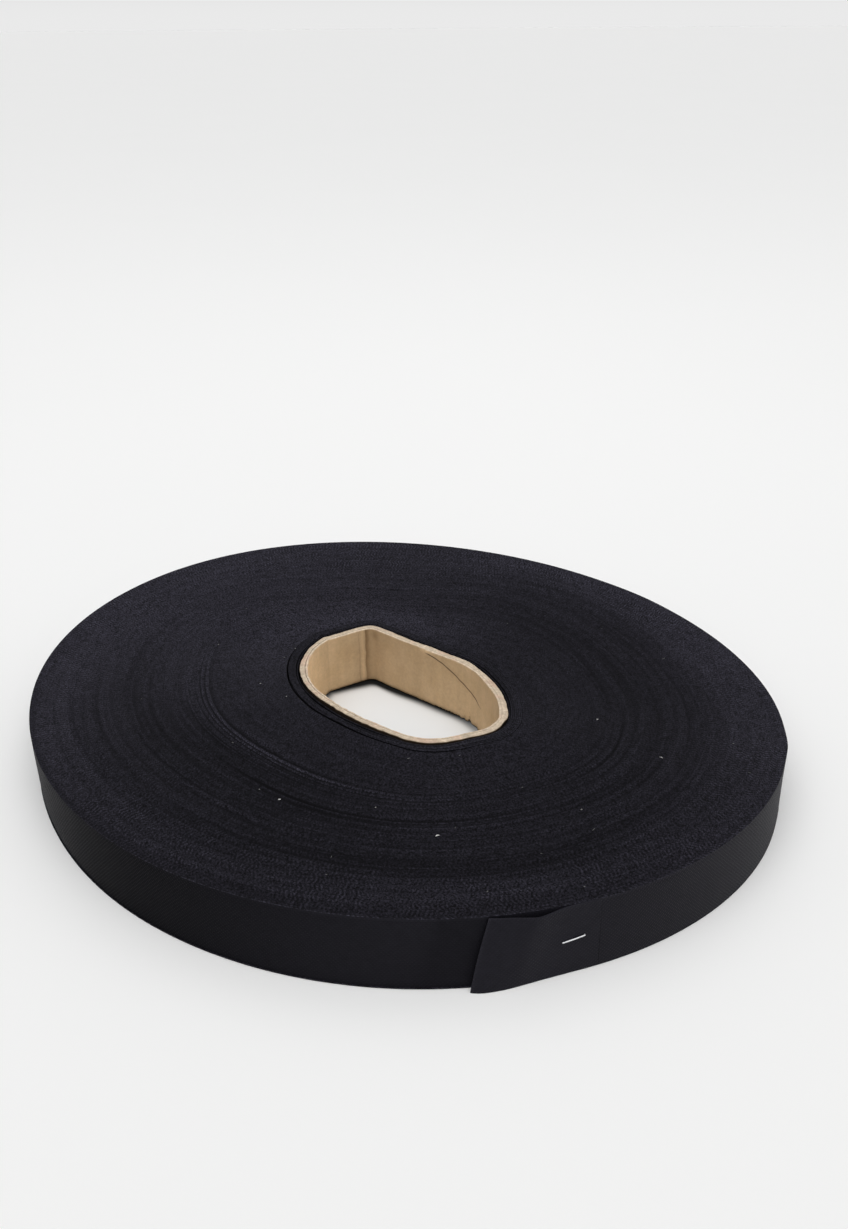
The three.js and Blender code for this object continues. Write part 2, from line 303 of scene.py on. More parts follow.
def started(theta, column):
    """A column of START at these angles."""
    rows = np.array(START)
    at, value = np.r_[rows[:, 0] - 360, rows[:, 0], rows[:, 0] + 360], np.tile(rows[:, column], 3)
    degrees = (np.degrees(np.asarray(theta)) + 180) % 360 - 180
    fine = np.arange(-400, 401, 1.0)
    smooth = np.convolve(np.interp(fine, at, value), bell(np.arange(-9, 10), 3.5) / bell(np.arange(-9, 10), 3.5).sum(), "same")
    return np.interp(degrees, fine, smooth)


def turn_radius(w, theta):
    inner, outer = first_radius(theta), last_radius(theta)
    r = inner + across(w, theta) * (outer - inner)
    # the innermost turns close up to the groove
    groove = tube_outer(theta) + started(theta, 3) + started(theta, 4)
    close = inner + across(SPREAD_FROM + 0 * np.asarray(w), theta) * (outer - inner)
    ease = np.clip((0.13 - np.asarray(w)) / (0.13 - SPREAD_FROM), 0, None)
    return r + (groove - close) * ease ** 1.5


def turn_xy(w, theta):
    r = turn_radius(w, theta)
    return np.stack([CENTRE[0] + r * np.cos(theta), CENTRE[1] + r * np.sin(theta)], -1)


# ---------------------------------------------------------------- mesh and material helpers

def noise_rows(rows, lobes, falls=0.6):
    """Smooth random curves round the roll, one a row."""
    theta = np.linspace(0, 2 * math.pi, COLUMNS, endpoint=False)
    out = np.zeros((rows, COLUMNS))
    for k in range(1, lobes + 1):
        a = rng.normal(size=(rows, 2)) / k ** falls
        out += a[:, :1] * np.cos(k * theta) + a[:, 1:] * np.sin(k * theta)
    return out / out.std()


def along_rows(x, sigma):
    k = np.arange(-int(4 * sigma) - 1, int(4 * sigma) + 2)
    w = np.exp(-0.5 * (k / sigma) ** 2)
    w /= w.sum()
    pad = np.pad(x, ((len(k) // 2, len(k) // 2), (0, 0)), mode="reflect")
    out = sum(wi * pad[i:i + len(x)] for i, wi in enumerate(w))
    return out / max(out.std(), 1e-9)


def make(name, points, faces, material, uvs=None, attributes=None, smooth=True, stage=False):
    """points in table millimetres, faces as an array of quads or triangles; uvs and attributes by name."""
    p = np.array(points, float)
    p[:, :2] -= BOX_MIDDLE
    p *= 0.001
    faces = np.asarray(faces, np.int64)
    mesh = bpy.data.meshes.new(name)
    mesh.vertices.add(len(p))
    mesh.vertices.foreach_set("co", p.astype(np.float32).ravel())
    n, k = faces.shape
    mesh.loops.add(n * k)
    mesh.loops.foreach_set("vertex_index", faces.astype(np.int32).ravel())
    mesh.polygons.add(n)
    mesh.polygons.foreach_set("loop_start", np.arange(0, n * k, k, dtype=np.int32))
    mesh.update(calc_edges=True)
    mesh.polygons.foreach_set("use_smooth", np.full(n, smooth))
    for label, value in (uvs or {}).items():
        layer = mesh.uv_layers.new(name=label)
        value = np.asarray(value, np.float32)
        if len(value) == len(p):
            value = value[faces.ravel()]
        layer.uv.foreach_set("vector", value.ravel())
    for label, value in (attributes or {}).items():
        a = mesh.attributes.new(label, "FLOAT", "POINT")
        a.data.foreach_set("value", np.asarray(value, np.float32))
    mesh.validate()
    obj = bpy.data.objects.new(name, mesh)
    bpy.context.scene.collection.objects.link(obj)
    mesh.materials.append(material)
    if stage:
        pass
    else:
        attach(obj, "root")
    return obj


class Nodes:
    """Short names for building a material's nodes."""

    def __init__(self, name):
        self.material = bpy.data.materials.new(name)
        self.material.use_nodes = True
        self.tree = self.material.node_tree
        self.tree.nodes.clear()
        self.output = self.add("ShaderNodeOutputMaterial")
        self.shader = self.add("ShaderNodeBsdfPrincipled")
        self.link(self.shader.outputs[0], self.output.inputs["Surface"])

    def add(self, kind, **settings):
        node = self.tree.nodes.new(kind)
        for key, value in settings.items():
            setattr(node, key, value)
        return node

    def link(self, a, b):
        self.tree.links.new(a, b)

    def put(self, socket, value):
        if isinstance(value, (int, float)):
            socket.default_value = value
        elif isinstance(value, (tuple, list)):
            socket.default_value = value
        else:
            self.link(value, socket)

    def math(self, operation, a, b=None, c=None, clamp=False):
        n = self.add("ShaderNodeMath", operation=operation, use_clamp=clamp)
        for i, v in enumerate((a, b, c)):
            if v is not None:
                self.put(n.inputs[i], v)
        return n.outputs[0]

    def attribute(self, name):
        return self.add("ShaderNodeAttribute", attribute_name=name).outputs["Fac"]

    def uv(self, name):
        n = self.add("ShaderNodeUVMap", uv_map=name)
        s = self.add("ShaderNodeSeparateXYZ")
        self.link(n.outputs[0], s.inputs[0])
        return n.outputs[0], s.outputs[0], s.outputs[1]

    def vector(self, x, y, z=0.0):
        n = self.add("ShaderNodeCombineXYZ")
        for i, v in enumerate((x, y, z)):
            self.put(n.inputs[i], v)
        return n.outputs[0]

    def noise(self, vector, scale, detail=2.0, rough=0.5, dims="3D"):
        n = self.add("ShaderNodeTexNoise", noise_dimensions=dims)
        self.put(n.inputs["Vector"], vector)
        n.inputs["Scale"].default_value = scale
        n.inputs["Detail"].default_value = detail
        n.inputs["Roughness"].default_value = rough
        return n.outputs[0]

    def white(self, value):
        n = self.add("ShaderNodeTexWhiteNoise", noise_dimensions="1D")
        self.put(n.inputs["W"], value)
        return n.outputs[0]

    def ranged(self, value, a, b, c, d, smooth=False):
        n = self.add("ShaderNodeMapRange", interpolation_type="SMOOTHSTEP" if smooth else "LINEAR")
        self.put(n.inputs["Value"], value)
        for key, v in zip(("From Min", "From Max", "To Min", "To Max"), (a, b, c, d)):
            self.put(n.inputs[key], v)
        return n.outputs["Result"]

    def bell(self, value, at, wide):
        x = self.math("ADD", value, -at)
        return self.math("EXPONENT", self.math("MULTIPLY", self.math("MULTIPLY", x, x), -0.5 / wide ** 2))

    def scaled(self, colour, factor):
        """colour times a varying factor."""
        n = self.add("ShaderNodeVectorMath", operation="SCALE")
        self.put(n.inputs[0], colour)
        self.put(n.inputs["Scale"], factor)
        return n.outputs[0]

    def stretched(self, vector, by):
        n = self.add("ShaderNodeVectorMath", operation="MULTIPLY")
        self.put(n.inputs[0], vector)
        n.inputs[1].default_value = by
        return n.outputs[0]

    def mixed(self, factor, a, b):
        n = self.add("ShaderNodeMix", data_type="RGBA")
        self.put(n.inputs[0], factor)
        self.put(n.inputs[6], a)
        self.put(n.inputs[7], b)
        return n.outputs[2]

    def bump(self, height, strength, distance, normal=None):
        n = self.add("ShaderNodeBump")
        self.put(n.inputs["Height"], height)
        n.inputs["Strength"].default_value = strength
        n.inputs["Distance"].default_value = distance
        if normal is not None:
            self.link(normal, n.inputs["Normal"])
        return n.outputs[0]

    def coordinates(self):
        return self.add("ShaderNodeTexCoord").outputs["Object"]


CLOTH_TINT = (1.0, 0.950, 1.31)


def cloth_colour(k):
    return (CLOTH_TINT[0] * k, CLOTH_TINT[1] * k, CLOTH_TINT[2] * k)


EMBOSS = 1.35                          # pitch of the bond points


def edges_material():
    """The cut edges of the turns, seen on the roll's flat faces."""
    m = Nodes("strip_edges")
    _, turn, depth = m.uv("turns")
    tone = m.attribute("tone")
    place = m.coordinates()
    # bond points cut through in slanting rows, the slant changing side every few turns
    wander = m.noise(place, 55.0, 2.0, 0.5)
    rows = m.math("ADD", m.math("DIVIDE", depth, 4.6), m.math("MULTIPLY_ADD", wander, 1.3, -0.65))
    count = m.math("FLOOR", m.math("MULTIPLY_ADD", m.math("FLOOR", rows), -3.2 * 4.6 / 1.42, 861 / 1.42))
    slant = m.math("MULTIPLY", m.math("PINGPONG", rows, 1.0), 0.66)
    phase = m.math("MULTIPLY", m.math("ADD", m.math("MULTIPLY", count, turn), slant), 2 * math.pi)
    stroke = m.math("MULTIPLY", m.math("SINE", phase), m.ranged(depth, 28.0, 62.0, 1.0, 0.62, smooth=True))
    patchy = m.ranged(m.noise(place, 70.0, 3.0, 0.6), 0.36, 0.62, 0.12, 1.0)
    # fibres
    grain = m.noise(place, 1650.0, 3.0, 0.75)
    clump = m.noise(place, 420.0, 2.0, 0.6)
    drift = m.noise(place, 30.0, 3.0, 0.55)
    f = m.math("MULTIPLY_ADD", m.math("MULTIPLY", stroke, patchy), 0.52, 1.0)
    f = m.math("MULTIPLY", f, m.ranged(grain, 0.40, 0.60, 0.0, 2.0))
    f = m.math("MULTIPLY", f, m.ranged(clump, 0.38, 0.62, 0.86, 1.14))
    f = m.math("MULTIPLY", f, m.ranged(drift, 0.3, 0.7, 0.92, 1.08))
    f = m.math("MULTIPLY", f, tone)
    f = m.math("MAXIMUM", f, 0.05)
    m.link(m.scaled(cloth_colour(0.0118), f), m.shader.inputs["Base Color"])
    m.put(m.shader.inputs["Roughness"], m.ranged(grain, 0.3, 0.7, 0.58, 0.80))
    m.shader.inputs["Specular IOR Level"].default_value = 0.10
    m.shader.inputs["Specular Tint"].default_value = (0.93, 0.91, 1.0, 1.0)
    m.shader.inputs["Sheen Weight"].default_value = 0.020
    m.shader.inputs["Sheen Roughness"].default_value = 0.45
    m.shader.inputs["Sheen Tint"].default_value = (0.90, 0.88, 1.0, 1.0)
    height = m.math("ADD", m.math("MULTIPLY", stroke, 0.25), m.math("MULTIPLY", grain, 1.3))
    m.link(m.bump(height, 0.6, 0.00014), m.shader.inputs["Normal"])
    return m.material


def face_material(name, base, sheen, lift=1.0):
    """The broad face of the strip: thermally bonded web with a lattice of small diamond bond points."""
    m = Nodes(name)
    _, u, v = m.uv("strip")
    tone = m.attribute("tone")
    a = m.math("MULTIPLY", m.math("ADD", u, v), math.pi / EMBOSS)
    b = m.math("MULTIPLY", m.math("SUBTRACT", u, v), math.pi / EMBOSS)
    lattice = m.math("MULTIPLY", m.math("COSINE", a), m.math("COSINE", b))
    lattice = m.math("MULTIPLY", lattice, lattice)
    point = m.ranged(lattice, 0.15, 0.85, 0.0, 1.0, smooth=True)
    place = m.coordinates()
    fibre = m.noise(m.vector(m.math("MULTIPLY", u, 3.2), m.math("MULTIPLY", v, 5.0)), 1.0, 4.0, 0.7)
    mottle = m.noise(m.vector(m.math("MULTIPLY", u, 0.30), m.math("MULTIPLY", v, 0.45)), 1.0, 3.0, 0.6)
    broad = m.noise(place, 28.0, 2.0, 0.5)
    seen = m.ranged(m.noise(place, 26.0, 2.0, 0.5), 0.35, 0.65, 0.25, 0.85)
    f = m.math("MULTIPLY_ADD", m.math("MULTIPLY", point, seen), -0.32, 1.10)
    f = m.math("MULTIPLY", f, m.ranged(fibre, 0.3, 0.7, 0.70, 1.30))
    f = m.math("MULTIPLY", f, m.ranged(mottle, 0.25, 0.75, 0.86, 1.14))
    f = m.math("MULTIPLY", f, m.ranged(broad, 0.3, 0.7, 0.95, 1.05))
    f = m.math("MULTIPLY", f, tone)
    m.link(m.scaled(cloth_colour(base), f), m.shader.inputs["Base Color"])
    m.put(m.shader.inputs["Roughness"], m.ranged(point, 0.0, 1.0, 0.62, 0.44))
    m.put(m.shader.inputs["Specular IOR Level"], m.math("MULTIPLY", tone, 0.085))
    m.shader.inputs["Specular Tint"].default_value = (0.93, 0.91, 1.0, 1.0)
    m.put(m.shader.inputs["Sheen Weight"], m.math("MULTIPLY", tone, sheen))
    m.shader.inputs["Sheen Roughness"].default_value = 0.4
    m.shader.inputs["Sheen Tint"].default_value = (0.92, 0.90, 1.0, 1.0)
    height = m.math("SUBTRACT", m.math("MULTIPLY", fibre, 0.9), point)
    m.link(m.bump(height, 0.45 * lift, 0.00014), m.shader.inputs["Normal"])
    return m.material


# ---------------------------------------------------------------- the winding

def winding_fields():
    """Height above the even face and tone of every turn, by turn and column."""
    rows = TURNS + 2
    fine = along_rows(noise_rows(rows, 7, 0.4), 0.4)
    group = along_rows(noise_rows(rows, 6, 0.6), 1.3)
    broad = along_rows(noise_rows(rows, 3, 0.9), 6.0)
    shade = along_rows(noise_rows(rows, 8, 0.3), 0.4)
    lift = 0.06 * fine + 0.10 * group + 0.05 * broad
    calm = 1 - 0.5 * np.clip((np.arange(rows) - 112) / 8, 0, 1)[:, None] - 0.25 * bell(np.arange(rows), 16)[:, None]
    tone = 1 + calm * (0.17 * fine + 0.05 * group + 0.13 * shade) + 0.02 * broad
    depth = 0.26 + 0.05 * along_rows(noise_rows(rows, 6, 0.5), 0.5)
    return lift, tone, depth


def along_spiral(field):
    """Turns a field by turn and column into one along the spiral, easing from each turn into the next."""
    ease = (np.arange(COLUMNS) / COLUMNS)[None]
    return ((1 - ease) * field[:-1] + ease * field[1:]).ravel()


def turned_from(theta_deg, bearing):
    return (theta_deg - bearing + 180) % 360 - 180


def shaped(k, w, theta_deg):
    """Lift and tone from the tables, for turn-and-column index k, place across w and angle."""
    back = (90 - ROOT_BEARING) / 360 * COLUMNS
    turn = np.floor((k - back) / COLUMNS)
    lift, tone = np.zeros(len(k)), np.zeros(len(k))
    for at, up, wide, shade, bearing, reach in UNEVEN:
        here = (1 - at) * TURNS - 0.943 - 0.5
        side = bell(turned_from(theta_deg, bearing), reach * 0.85)
        near = bell(turn - here, wide)
        lift += up * near * side
        # sunk turns get painted shade, raised turns painted light
        tone += shade * near * side
    # broad bands of painted sheen and painted shade
    for at, wide, shade, bearing, reach in NAP_AND_SHEEN:
        tone += shade * bell(w - at, wide) * bell(turned_from(theta_deg, bearing), reach)
    return lift, tone


def round_turn(theta):
    """Place along a turn from the root of the loose end, 0 to 1, even along its length."""
    t = ROOT + np.linspace(0, 2 * math.pi, 1441)
    p = turn_xy(np.full(t.shape, 0.75), t)
    s = np.cumsum(np.r_[0, np.hypot(*np.diff(p, axis=0).T)])
    return np.interp(np.asarray(theta) - ROOT, t - ROOT, s / s[-1])


def winding(lift, tone, depth, first_turn, last_turn, name):
    """Upper face of the roll from first_turn to last_turn, counted from the outside, as a true spiral whose turns
    each have a crest and a groove."""
    k = np.arange(first_turn * COLUMNS, (last_turn + 1) * COLUMNS + 1)
    g = np.arange(first_turn * COLUMNS, (last_turn + 2) * COLUMNS + 1)
    lift_all, tone_all, depth_all = along_spiral(lift), along_spiral(tone), along_spiral(depth)
    most = len(lift_all) - 1

    def at(i, inwards):
        w = 1 - (i / COLUMNS + inwards) / TURNS
        theta = ROOT + 2 * math.pi * i / COLUMNS
        return w, np.degrees(theta), turn_xy(w, theta)

    wc, tc, pc = at(k, 0.5)
    wg, tg, pg = at(g, 0.0)
    ic, ig = np.minimum(k, most), np.minimum(g, most)
    up_c, shade_c = shaped(k, wc, tc)
    up_g, shade_g = shaped(g, wg, tg)
    high_c = lift_all[ic] + up_c
    # a groove lies below the lower of its two neighbours
    outer = np.maximum(g - COLUMNS, 0)
    up_o, _ = shaped(outer, wg, tg)
    high_o = np.where(g >= COLUMNS, lift_all[np.minimum(outer, most)] + up_o, lift_all[ig] + up_g)
    high_g = np.minimum(lift_all[ig] + up_g, high_o) - depth_all[ig]
    edge = (g < COLUMNS) | (g >= MAIN_TURNS * COLUMNS)
    high_g = np.where(edge, lift_all[np.minimum(np.where(g < COLUMNS, g, outer), most)] - 0.10 + np.where(g < COLUMNS, up_g, up_o), high_g)
    tone_c = tone_all[ic] + shade_c
    # the grooves between turns are painted a third darker: painted shade
    tone_g = np.where(edge, tone_all[ig], (tone_all[ig] + shade_g) * 0.66)
    # the outermost edge is painted lighter: a painted highlight
    tone_g = np.where(g < COLUMNS, tone_g * 1.55, tone_g)
    top = STRIP_WIDTH - 0.05
    points = [np.column_stack([pc, top + high_c]), np.column_stack([pg, top + high_g])]
    tones = [tone_c, tone_g]
    n = len(k)
    i = np.arange(n - 1)
    crest, groove, inside = i, n + i, n + i + COLUMNS
    faces = [np.stack([groove, groove + 1, crest + 1, crest], 1), np.stack([crest, crest + 1, inside + 1, inside], 1)]
    along = round_turn(ROOT + 2 * math.pi * (i % COLUMNS) / COLUMNS)
    step = np.diff(round_turn(ROOT + 2 * math.pi * np.arange(COLUMNS + 1) / COLUMNS))[i % COLUMNS]
    t0 = k[:-1] / COLUMNS
    t1 = t0 + 1 / COLUMNS
    quad = lambda a, b: np.stack([np.column_stack([along, t0 + a]), np.column_stack([along + step, t1 + a]),
                                  np.column_stack([along + step, t1 + b]), np.column_stack([along, t0 + b])], 1)
    uv = [quad(0.0, 0.5), quad(0.5, 1.0)]
    if last_turn == MAIN_TURNS - 1:
        # the wall of the groove inside the innermost turn, painted almost black: painted shade
        wall = pg[-COLUMNS - 1:]
        base = n + len(g)
        for deep, shade in ((0.5, 0.12), (9.0, 0.1)):
            points.append(np.column_stack([wall, np.full(len(wall), top - deep)]))
            tones.append(np.full(len(wall), shade))
        c = np.arange(COLUMNS)
        rim = n + len(g) - COLUMNS - 1 + c
        below = base + COLUMNS + 1 + c
        faces.append(np.stack([rim, rim + 1, base + c + 1, base + c], 1))
        faces.append(np.stack([base + c, base + c + 1, below + 1, below], 1))
        uv += [np.stack([np.column_stack([c / COLUMNS, np.full(COLUMNS, 170.0)])] * 4, 1)] * 2
    points, faces, uv = np.vstack(points), np.vstack(faces), np.vstack(uv)
    return make(name, points, faces, EDGES, {"turns": uv.reshape(-1, 2), "OFBake": (points[:, :2] - CENTRE) / 300 + 0.5},
                {"tone": np.clip(np.concatenate(tones), 0.12, 2.2)})


MAIN_TURNS = 169
EDGES = edges_material()
FACE = face_material("strip_face", 0.0086, 0.016)
FACE_END = face_material("strip_face_end", 0.0097, 0.016, 0.9)

LIFT, TONE, DEPTH = winding_fields()
LIFT[:4] *= np.array([0.15, 0.35, 0.6, 0.8])[:, None]
upper_outer = winding(LIFT, TONE, DEPTH, 0, 87, "upper_turns_outer")
winding(LIFT, TONE, DEPTH, 88, MAIN_TURNS - 1, "upper_turns_inner")


def start_turns():
    """The first few turns, next to the tube: a slack one, and six that lie close together beyond it."""
    k = np.arange(COLUMNS)
    theta = ROOT + 2 * math.pi * k / COLUMNS
    degrees = np.degrees(theta)
    core = tube_outer(theta)
    first, second, wide = (started(theta, c) for c in (1, 2, 4))
    groove = turn_radius(1 - (MAIN_TURNS + k / COLUMNS) / TURNS, theta) - core - wide
    edges = [(first, np.minimum(first + 0.52, second - 0.04))]
    each = (groove - second) / (START_TURNS - 1)
    for i in range(START_TURNS - 1):
        edges.append((second + each * i, second + each * (i + 1)))
    wave = along_rows(noise_rows(START_TURNS + 2, 9, 0.4), 0.4)
    turn = round_turn(theta)
    points, tones, uv, faces = [], [], [], []
    row = 0
    sunk = bell(turned_from(degrees, 2), 30)
    slack = bell(turned_from(degrees, -135), 55)
    for i, (a, b) in enumerate(edges):
        z = STRIP_WIDTH - 0.12 + 0.06 * wave[i]
        tone = 1.0 + 0.12 * wave[i + 1]
        # the slack first turn and the two sunk turns after it lie lower and are painted darker: painted shade
        if i == 0:
            z = z - 0.25 - 0.45 * slack
            tone = tone * (0.85 - 0.10 * slack)
        if i in (1, 2):
            z = z - 0.25 * sunk
            tone = tone * (1 - 0.28 * sunk)
        deep = 24.9 if i == 0 else 9.0
        soft = 0.10 * (b - a) / 0.6
        # each turn's sides down into the gaps are painted dark and its crest a little lighter: painted shade and
        # painted light
        for r, dz, t in ((a, -deep, 0.1), (a, -0.45, 0.12), (a, -0.12, 0.6), (a + soft, 0.0, 1.0), ((a + b) / 2, 0.03, 1.08), (b - soft, 0.0, 1.0), (b, -0.14, 0.5), (b, -0.4, 0.1), (b, -9.0, 0.1)):
            rr = core + r
            points.append(np.column_stack([CENTRE[0] + rr * np.cos(theta), CENTRE[1] + rr * np.sin(theta), np.maximum(z + dz, 0.3)]))
            tones.append(tone * t)
            row += 1
        for j in range(row - 9, row - 1):
            p, q = k, (k + 1) % COLUMNS
            faces.append(np.stack([j * COLUMNS + q, j * COLUMNS + p, (j + 1) * COLUMNS + p, (j + 1) * COLUMNS + q], 1))
            x0, x1 = turn, np.r_[turn[1:], 1.0]
            d = 175.5 - i - (j - row + 9) / 8
            uv.append(np.stack([np.column_stack([x1, x1 * 0 + d]), np.column_stack([x0, x0 * 0 + d]), np.column_stack([x0, x0 * 0 + d - 0.12]), np.column_stack([x1, x1 * 0 + d - 0.12])], 1))
    return make("start_turns", np.vstack(points), np.vstack(faces), EDGES, {"turns": np.vstack(uv).reshape(-1, 2)},
                {"tone": np.clip(np.concatenate(tones), 0.12, 2)})


start_turns()


def foot_push(degrees):
    """How far the roll's lower edge stands out beyond its upper edge: it is not quite upright all the way round."""
    return 0.96 * bell(turned_from(degrees, -94), 20) - 0.75 * bell(turned_from(degrees, -154), 14)


def lower_face():
    """The face that the roll lies on, a coarser spiral of paired turns."""
    columns, rows = 256, 88
    theta = ROOT + 2 * math.pi * np.arange(columns) / columns
    ws = 1 - (np.arange(rows + 1) / rows)
    waves = along_rows(noise_rows(rows + 1, 4, 0.7), 1.0)[:, ::COLUMNS // 128][:, :128]
    waves = np.repeat(waves, 2, axis=1)
    points, tone = [], []
    for j, w in enumerate(ws):
        for half in (0.0, 0.5):
            if j == rows and half:
                continue
            ww = SPREAD_FROM + (1 - SPREAD_FROM) * (w - half / rows)
            z = 0.12 + 0.05 * waves[j] + (0.0 if half else 0.42)
            if j == 0 and not half:
                z = z * 0 + 0.22
            p = turn_xy(np.full(columns, ww), theta)
            out = (p - CENTRE) / np.linalg.norm(p - CENTRE, axis=1)[:, None]
            p = p + out * (foot_push(np.degrees(theta)) * bell(1 - ww, 0.05))[:, None]
            points.append(np.column_stack([p, np.maximum(z, 0.02)]))
            # the grooves between paired turns are painted darker: painted shade
            tone.append(np.full(columns, 1.0 if half else 0.7))
    lines = len(points)
    points, tone = np.vstack(points), np.concatenate(tone)
    a = np.arange(columns)
    b = (a + 1) % columns
    faces = np.vstack([np.stack([j * columns + b, j * columns + a, (j + 1) * columns + a, (j + 1) * columns + b], 1) for j in range(lines - 1)])
    uv = np.zeros((len(faces), 4, 2))
    turn = round_turn(theta)
    x0, x1 = turn, np.r_[turn[1:], 1.0]
    for j in range(lines - 1):
        s = slice(j * columns, (j + 1) * columns)
        d0, d1 = np.full(columns, j + 0.0), np.full(columns, j + 1.0)
        uv[s] = np.stack([np.column_stack([x1, d0]), np.column_stack([x0, d0]), np.column_stack([x0, d1]), np.column_stack([x1, d1])], 1)
    flat = (points[:, :2] - CENTRE) / 300 + 0.5
    return make("lower_turns", points, faces, EDGES, {"turns": uv.reshape(-1, 2), "OFBake": flat}, {"tone": tone})


lower_face()


def outer_edge_heights(theta_index):
    """Height of the outermost turn's upper edge at each column of the first turn."""
    k = theta_index
    lift_all = along_spiral(LIFT)
    w = 1 - (k / COLUMNS) / TURNS
    up, _ = shaped(k, w, np.degrees(ROOT + 2 * math.pi * k / COLUMNS))
    return STRIP_WIDTH - 0.05 + lift_all[k] + up - 0.10


def side_band():
    """The outer face of the outermost turn, from the root of the loose end once round to it."""
    k = np.arange(COLUMNS + 1)
    theta = ROOT + 2 * math.pi * k / COLUMNS
    rows = 24
    p = turn_xy(1 - (k / COLUMNS) / TURNS, theta)
    top = outer_edge_heights(k)
    arc = np.cumsum(np.r_[0, np.hypot(*np.diff(p, axis=0).T)])
    centre = p - CENTRE
    out = centre / np.linalg.norm(centre, axis=1)[:, None]
    fade = np.clip(np.minimum(k, COLUMNS - k) / 14.0, 0, 1)
    waves = 0.10 * noise_rows(1, 9, 0.5)[0] + 0.03 * noise_rows(1, 30, 0.2)[0]
    waves = np.r_[waves, waves[:1]]
    lean = 0.10 * noise_rows(1, 6, 0.5)[0]
    lean = np.r_[lean, lean[:1]]
    foot = foot_push(np.degrees(theta))
    left_shade = 1 - 0.66 * bell(turned_from(np.degrees(theta), -132), 24)         # painted shade: the band is painted darker at the left, where less light falls
    points, tone, uv = [], [], []
    for j in range(rows + 1):
        up = j / rows
        push = fade * (waves * math.sin(math.pi * up) + lean * math.sin(2 * math.pi * up) * 0.6)
        ends = 0.10 * (1 - np.clip(min(up, 1 - up) / 0.03, 0, 1))           # its two edges are rounded
        xy = p + out * (push - ends + foot * (1 - up))[:, None]
        z = 0.22 + (top - 0.22) * up
        points.append(np.column_stack([xy, z]))
        uv.append(np.column_stack([arc, z]))
        # a painted highlight along the band's upper edge
        edge = 1.0 + 0.40 * bell((1 - up) * 25.4, 0.32)
        # a painted shadow of the loose end on the band, to the left of its cut and under it, widening downwards
        past = np.radians(turned_from(CUT_BOTTOM + (CUT_TOP - CUT_BOTTOM) * up, np.degrees(theta))) * 140
        flap_shadow = 1 - 0.24 * np.exp(-np.clip(past, 0, None) / (2.0 + 4.5 * (1 - up))) * (past > -20)
        tone.append(left_shade * edge * flap_shadow)
    points, tone, uv = np.vstack(points), np.concatenate(tone), np.vstack(uv)
    a = np.arange(COLUMNS)
    n = COLUMNS + 1
    faces = np.vstack([np.stack([j * n + a, j * n + a + 1, (j + 1) * n + a + 1, (j + 1) * n + a], 1) for j in range(rows)])
    # the bake's map: the band in four lengths, one above another
    band = np.zeros((len(faces), 4, 2))
    for j in range(rows):
        s = slice(j * COLUMNS, (j + 1) * COLUMNS)
        length = a / COLUMNS * 4
        row = np.minimum(np.floor(length + 1e-9), 3)
        x0 = (length - row) * 0.98 + 0.01
        x1 = x0 + 4 / COLUMNS * 0.98
        y0, y1 = 0.02 + row * 0.25 + j / rows * 0.2, 0.02 + row * 0.25 + (j + 1) / rows * 0.2
        band[s, 0] = np.column_stack([x0, y0])
        band[s, 1] = np.column_stack([x1, y0])
        band[s, 2] = np.column_stack([x1, y1])
        band[s, 3] = np.column_stack([x0, y1])
    return make("outer_turn", points, faces, FACE, {"strip": uv, "OFBake": band.reshape(-1, 2)}, {"tone": tone})


side_band()


# ---------------------------------------------------------------- the loose end

def smooth_column(x, column):
    """Value of one column of the BOW table, on a smooth curve through its rows."""
    xs = np.array([r[0] for r in BOW], float)
    ys = np.array([r[column] for r in BOW], float)
    d = np.gradient(ys, xs)
    d[-1] = 0
    d[-2] = 0
    i = np.clip(np.searchsorted(xs, x, side="right") - 1, 0, len(xs) - 2)
    h = xs[i + 1] - xs[i]
    t = np.clip((x - xs[i]) / h, 0, 1)
    v = ((2 * t ** 3 - 3 * t ** 2 + 1) * ys[i] + (t ** 3 - 2 * t ** 2 + t) * h * d[i]
         + (3 * t ** 2 - 2 * t ** 3) * ys[i + 1] + (t ** 3 - t ** 2) * h * d[i + 1])
    return np.maximum(v, 0.0)


def surface_below(bearing):
    """Point and outward normal of the turn under the loose end."""
    a = rad(bearing)
    p = roll_point(bearing, LAYER / 2)
    theta = np.arctan2(p[..., 1] - CENTRE[1], p[..., 0] - CENTRE[0])
    turned = 1 + (theta - ROOT) / (2 * math.pi)
    return turn_xy(1 - turned / TURNS, theta), np.stack([np.cos(a), np.sin(a)], -1)


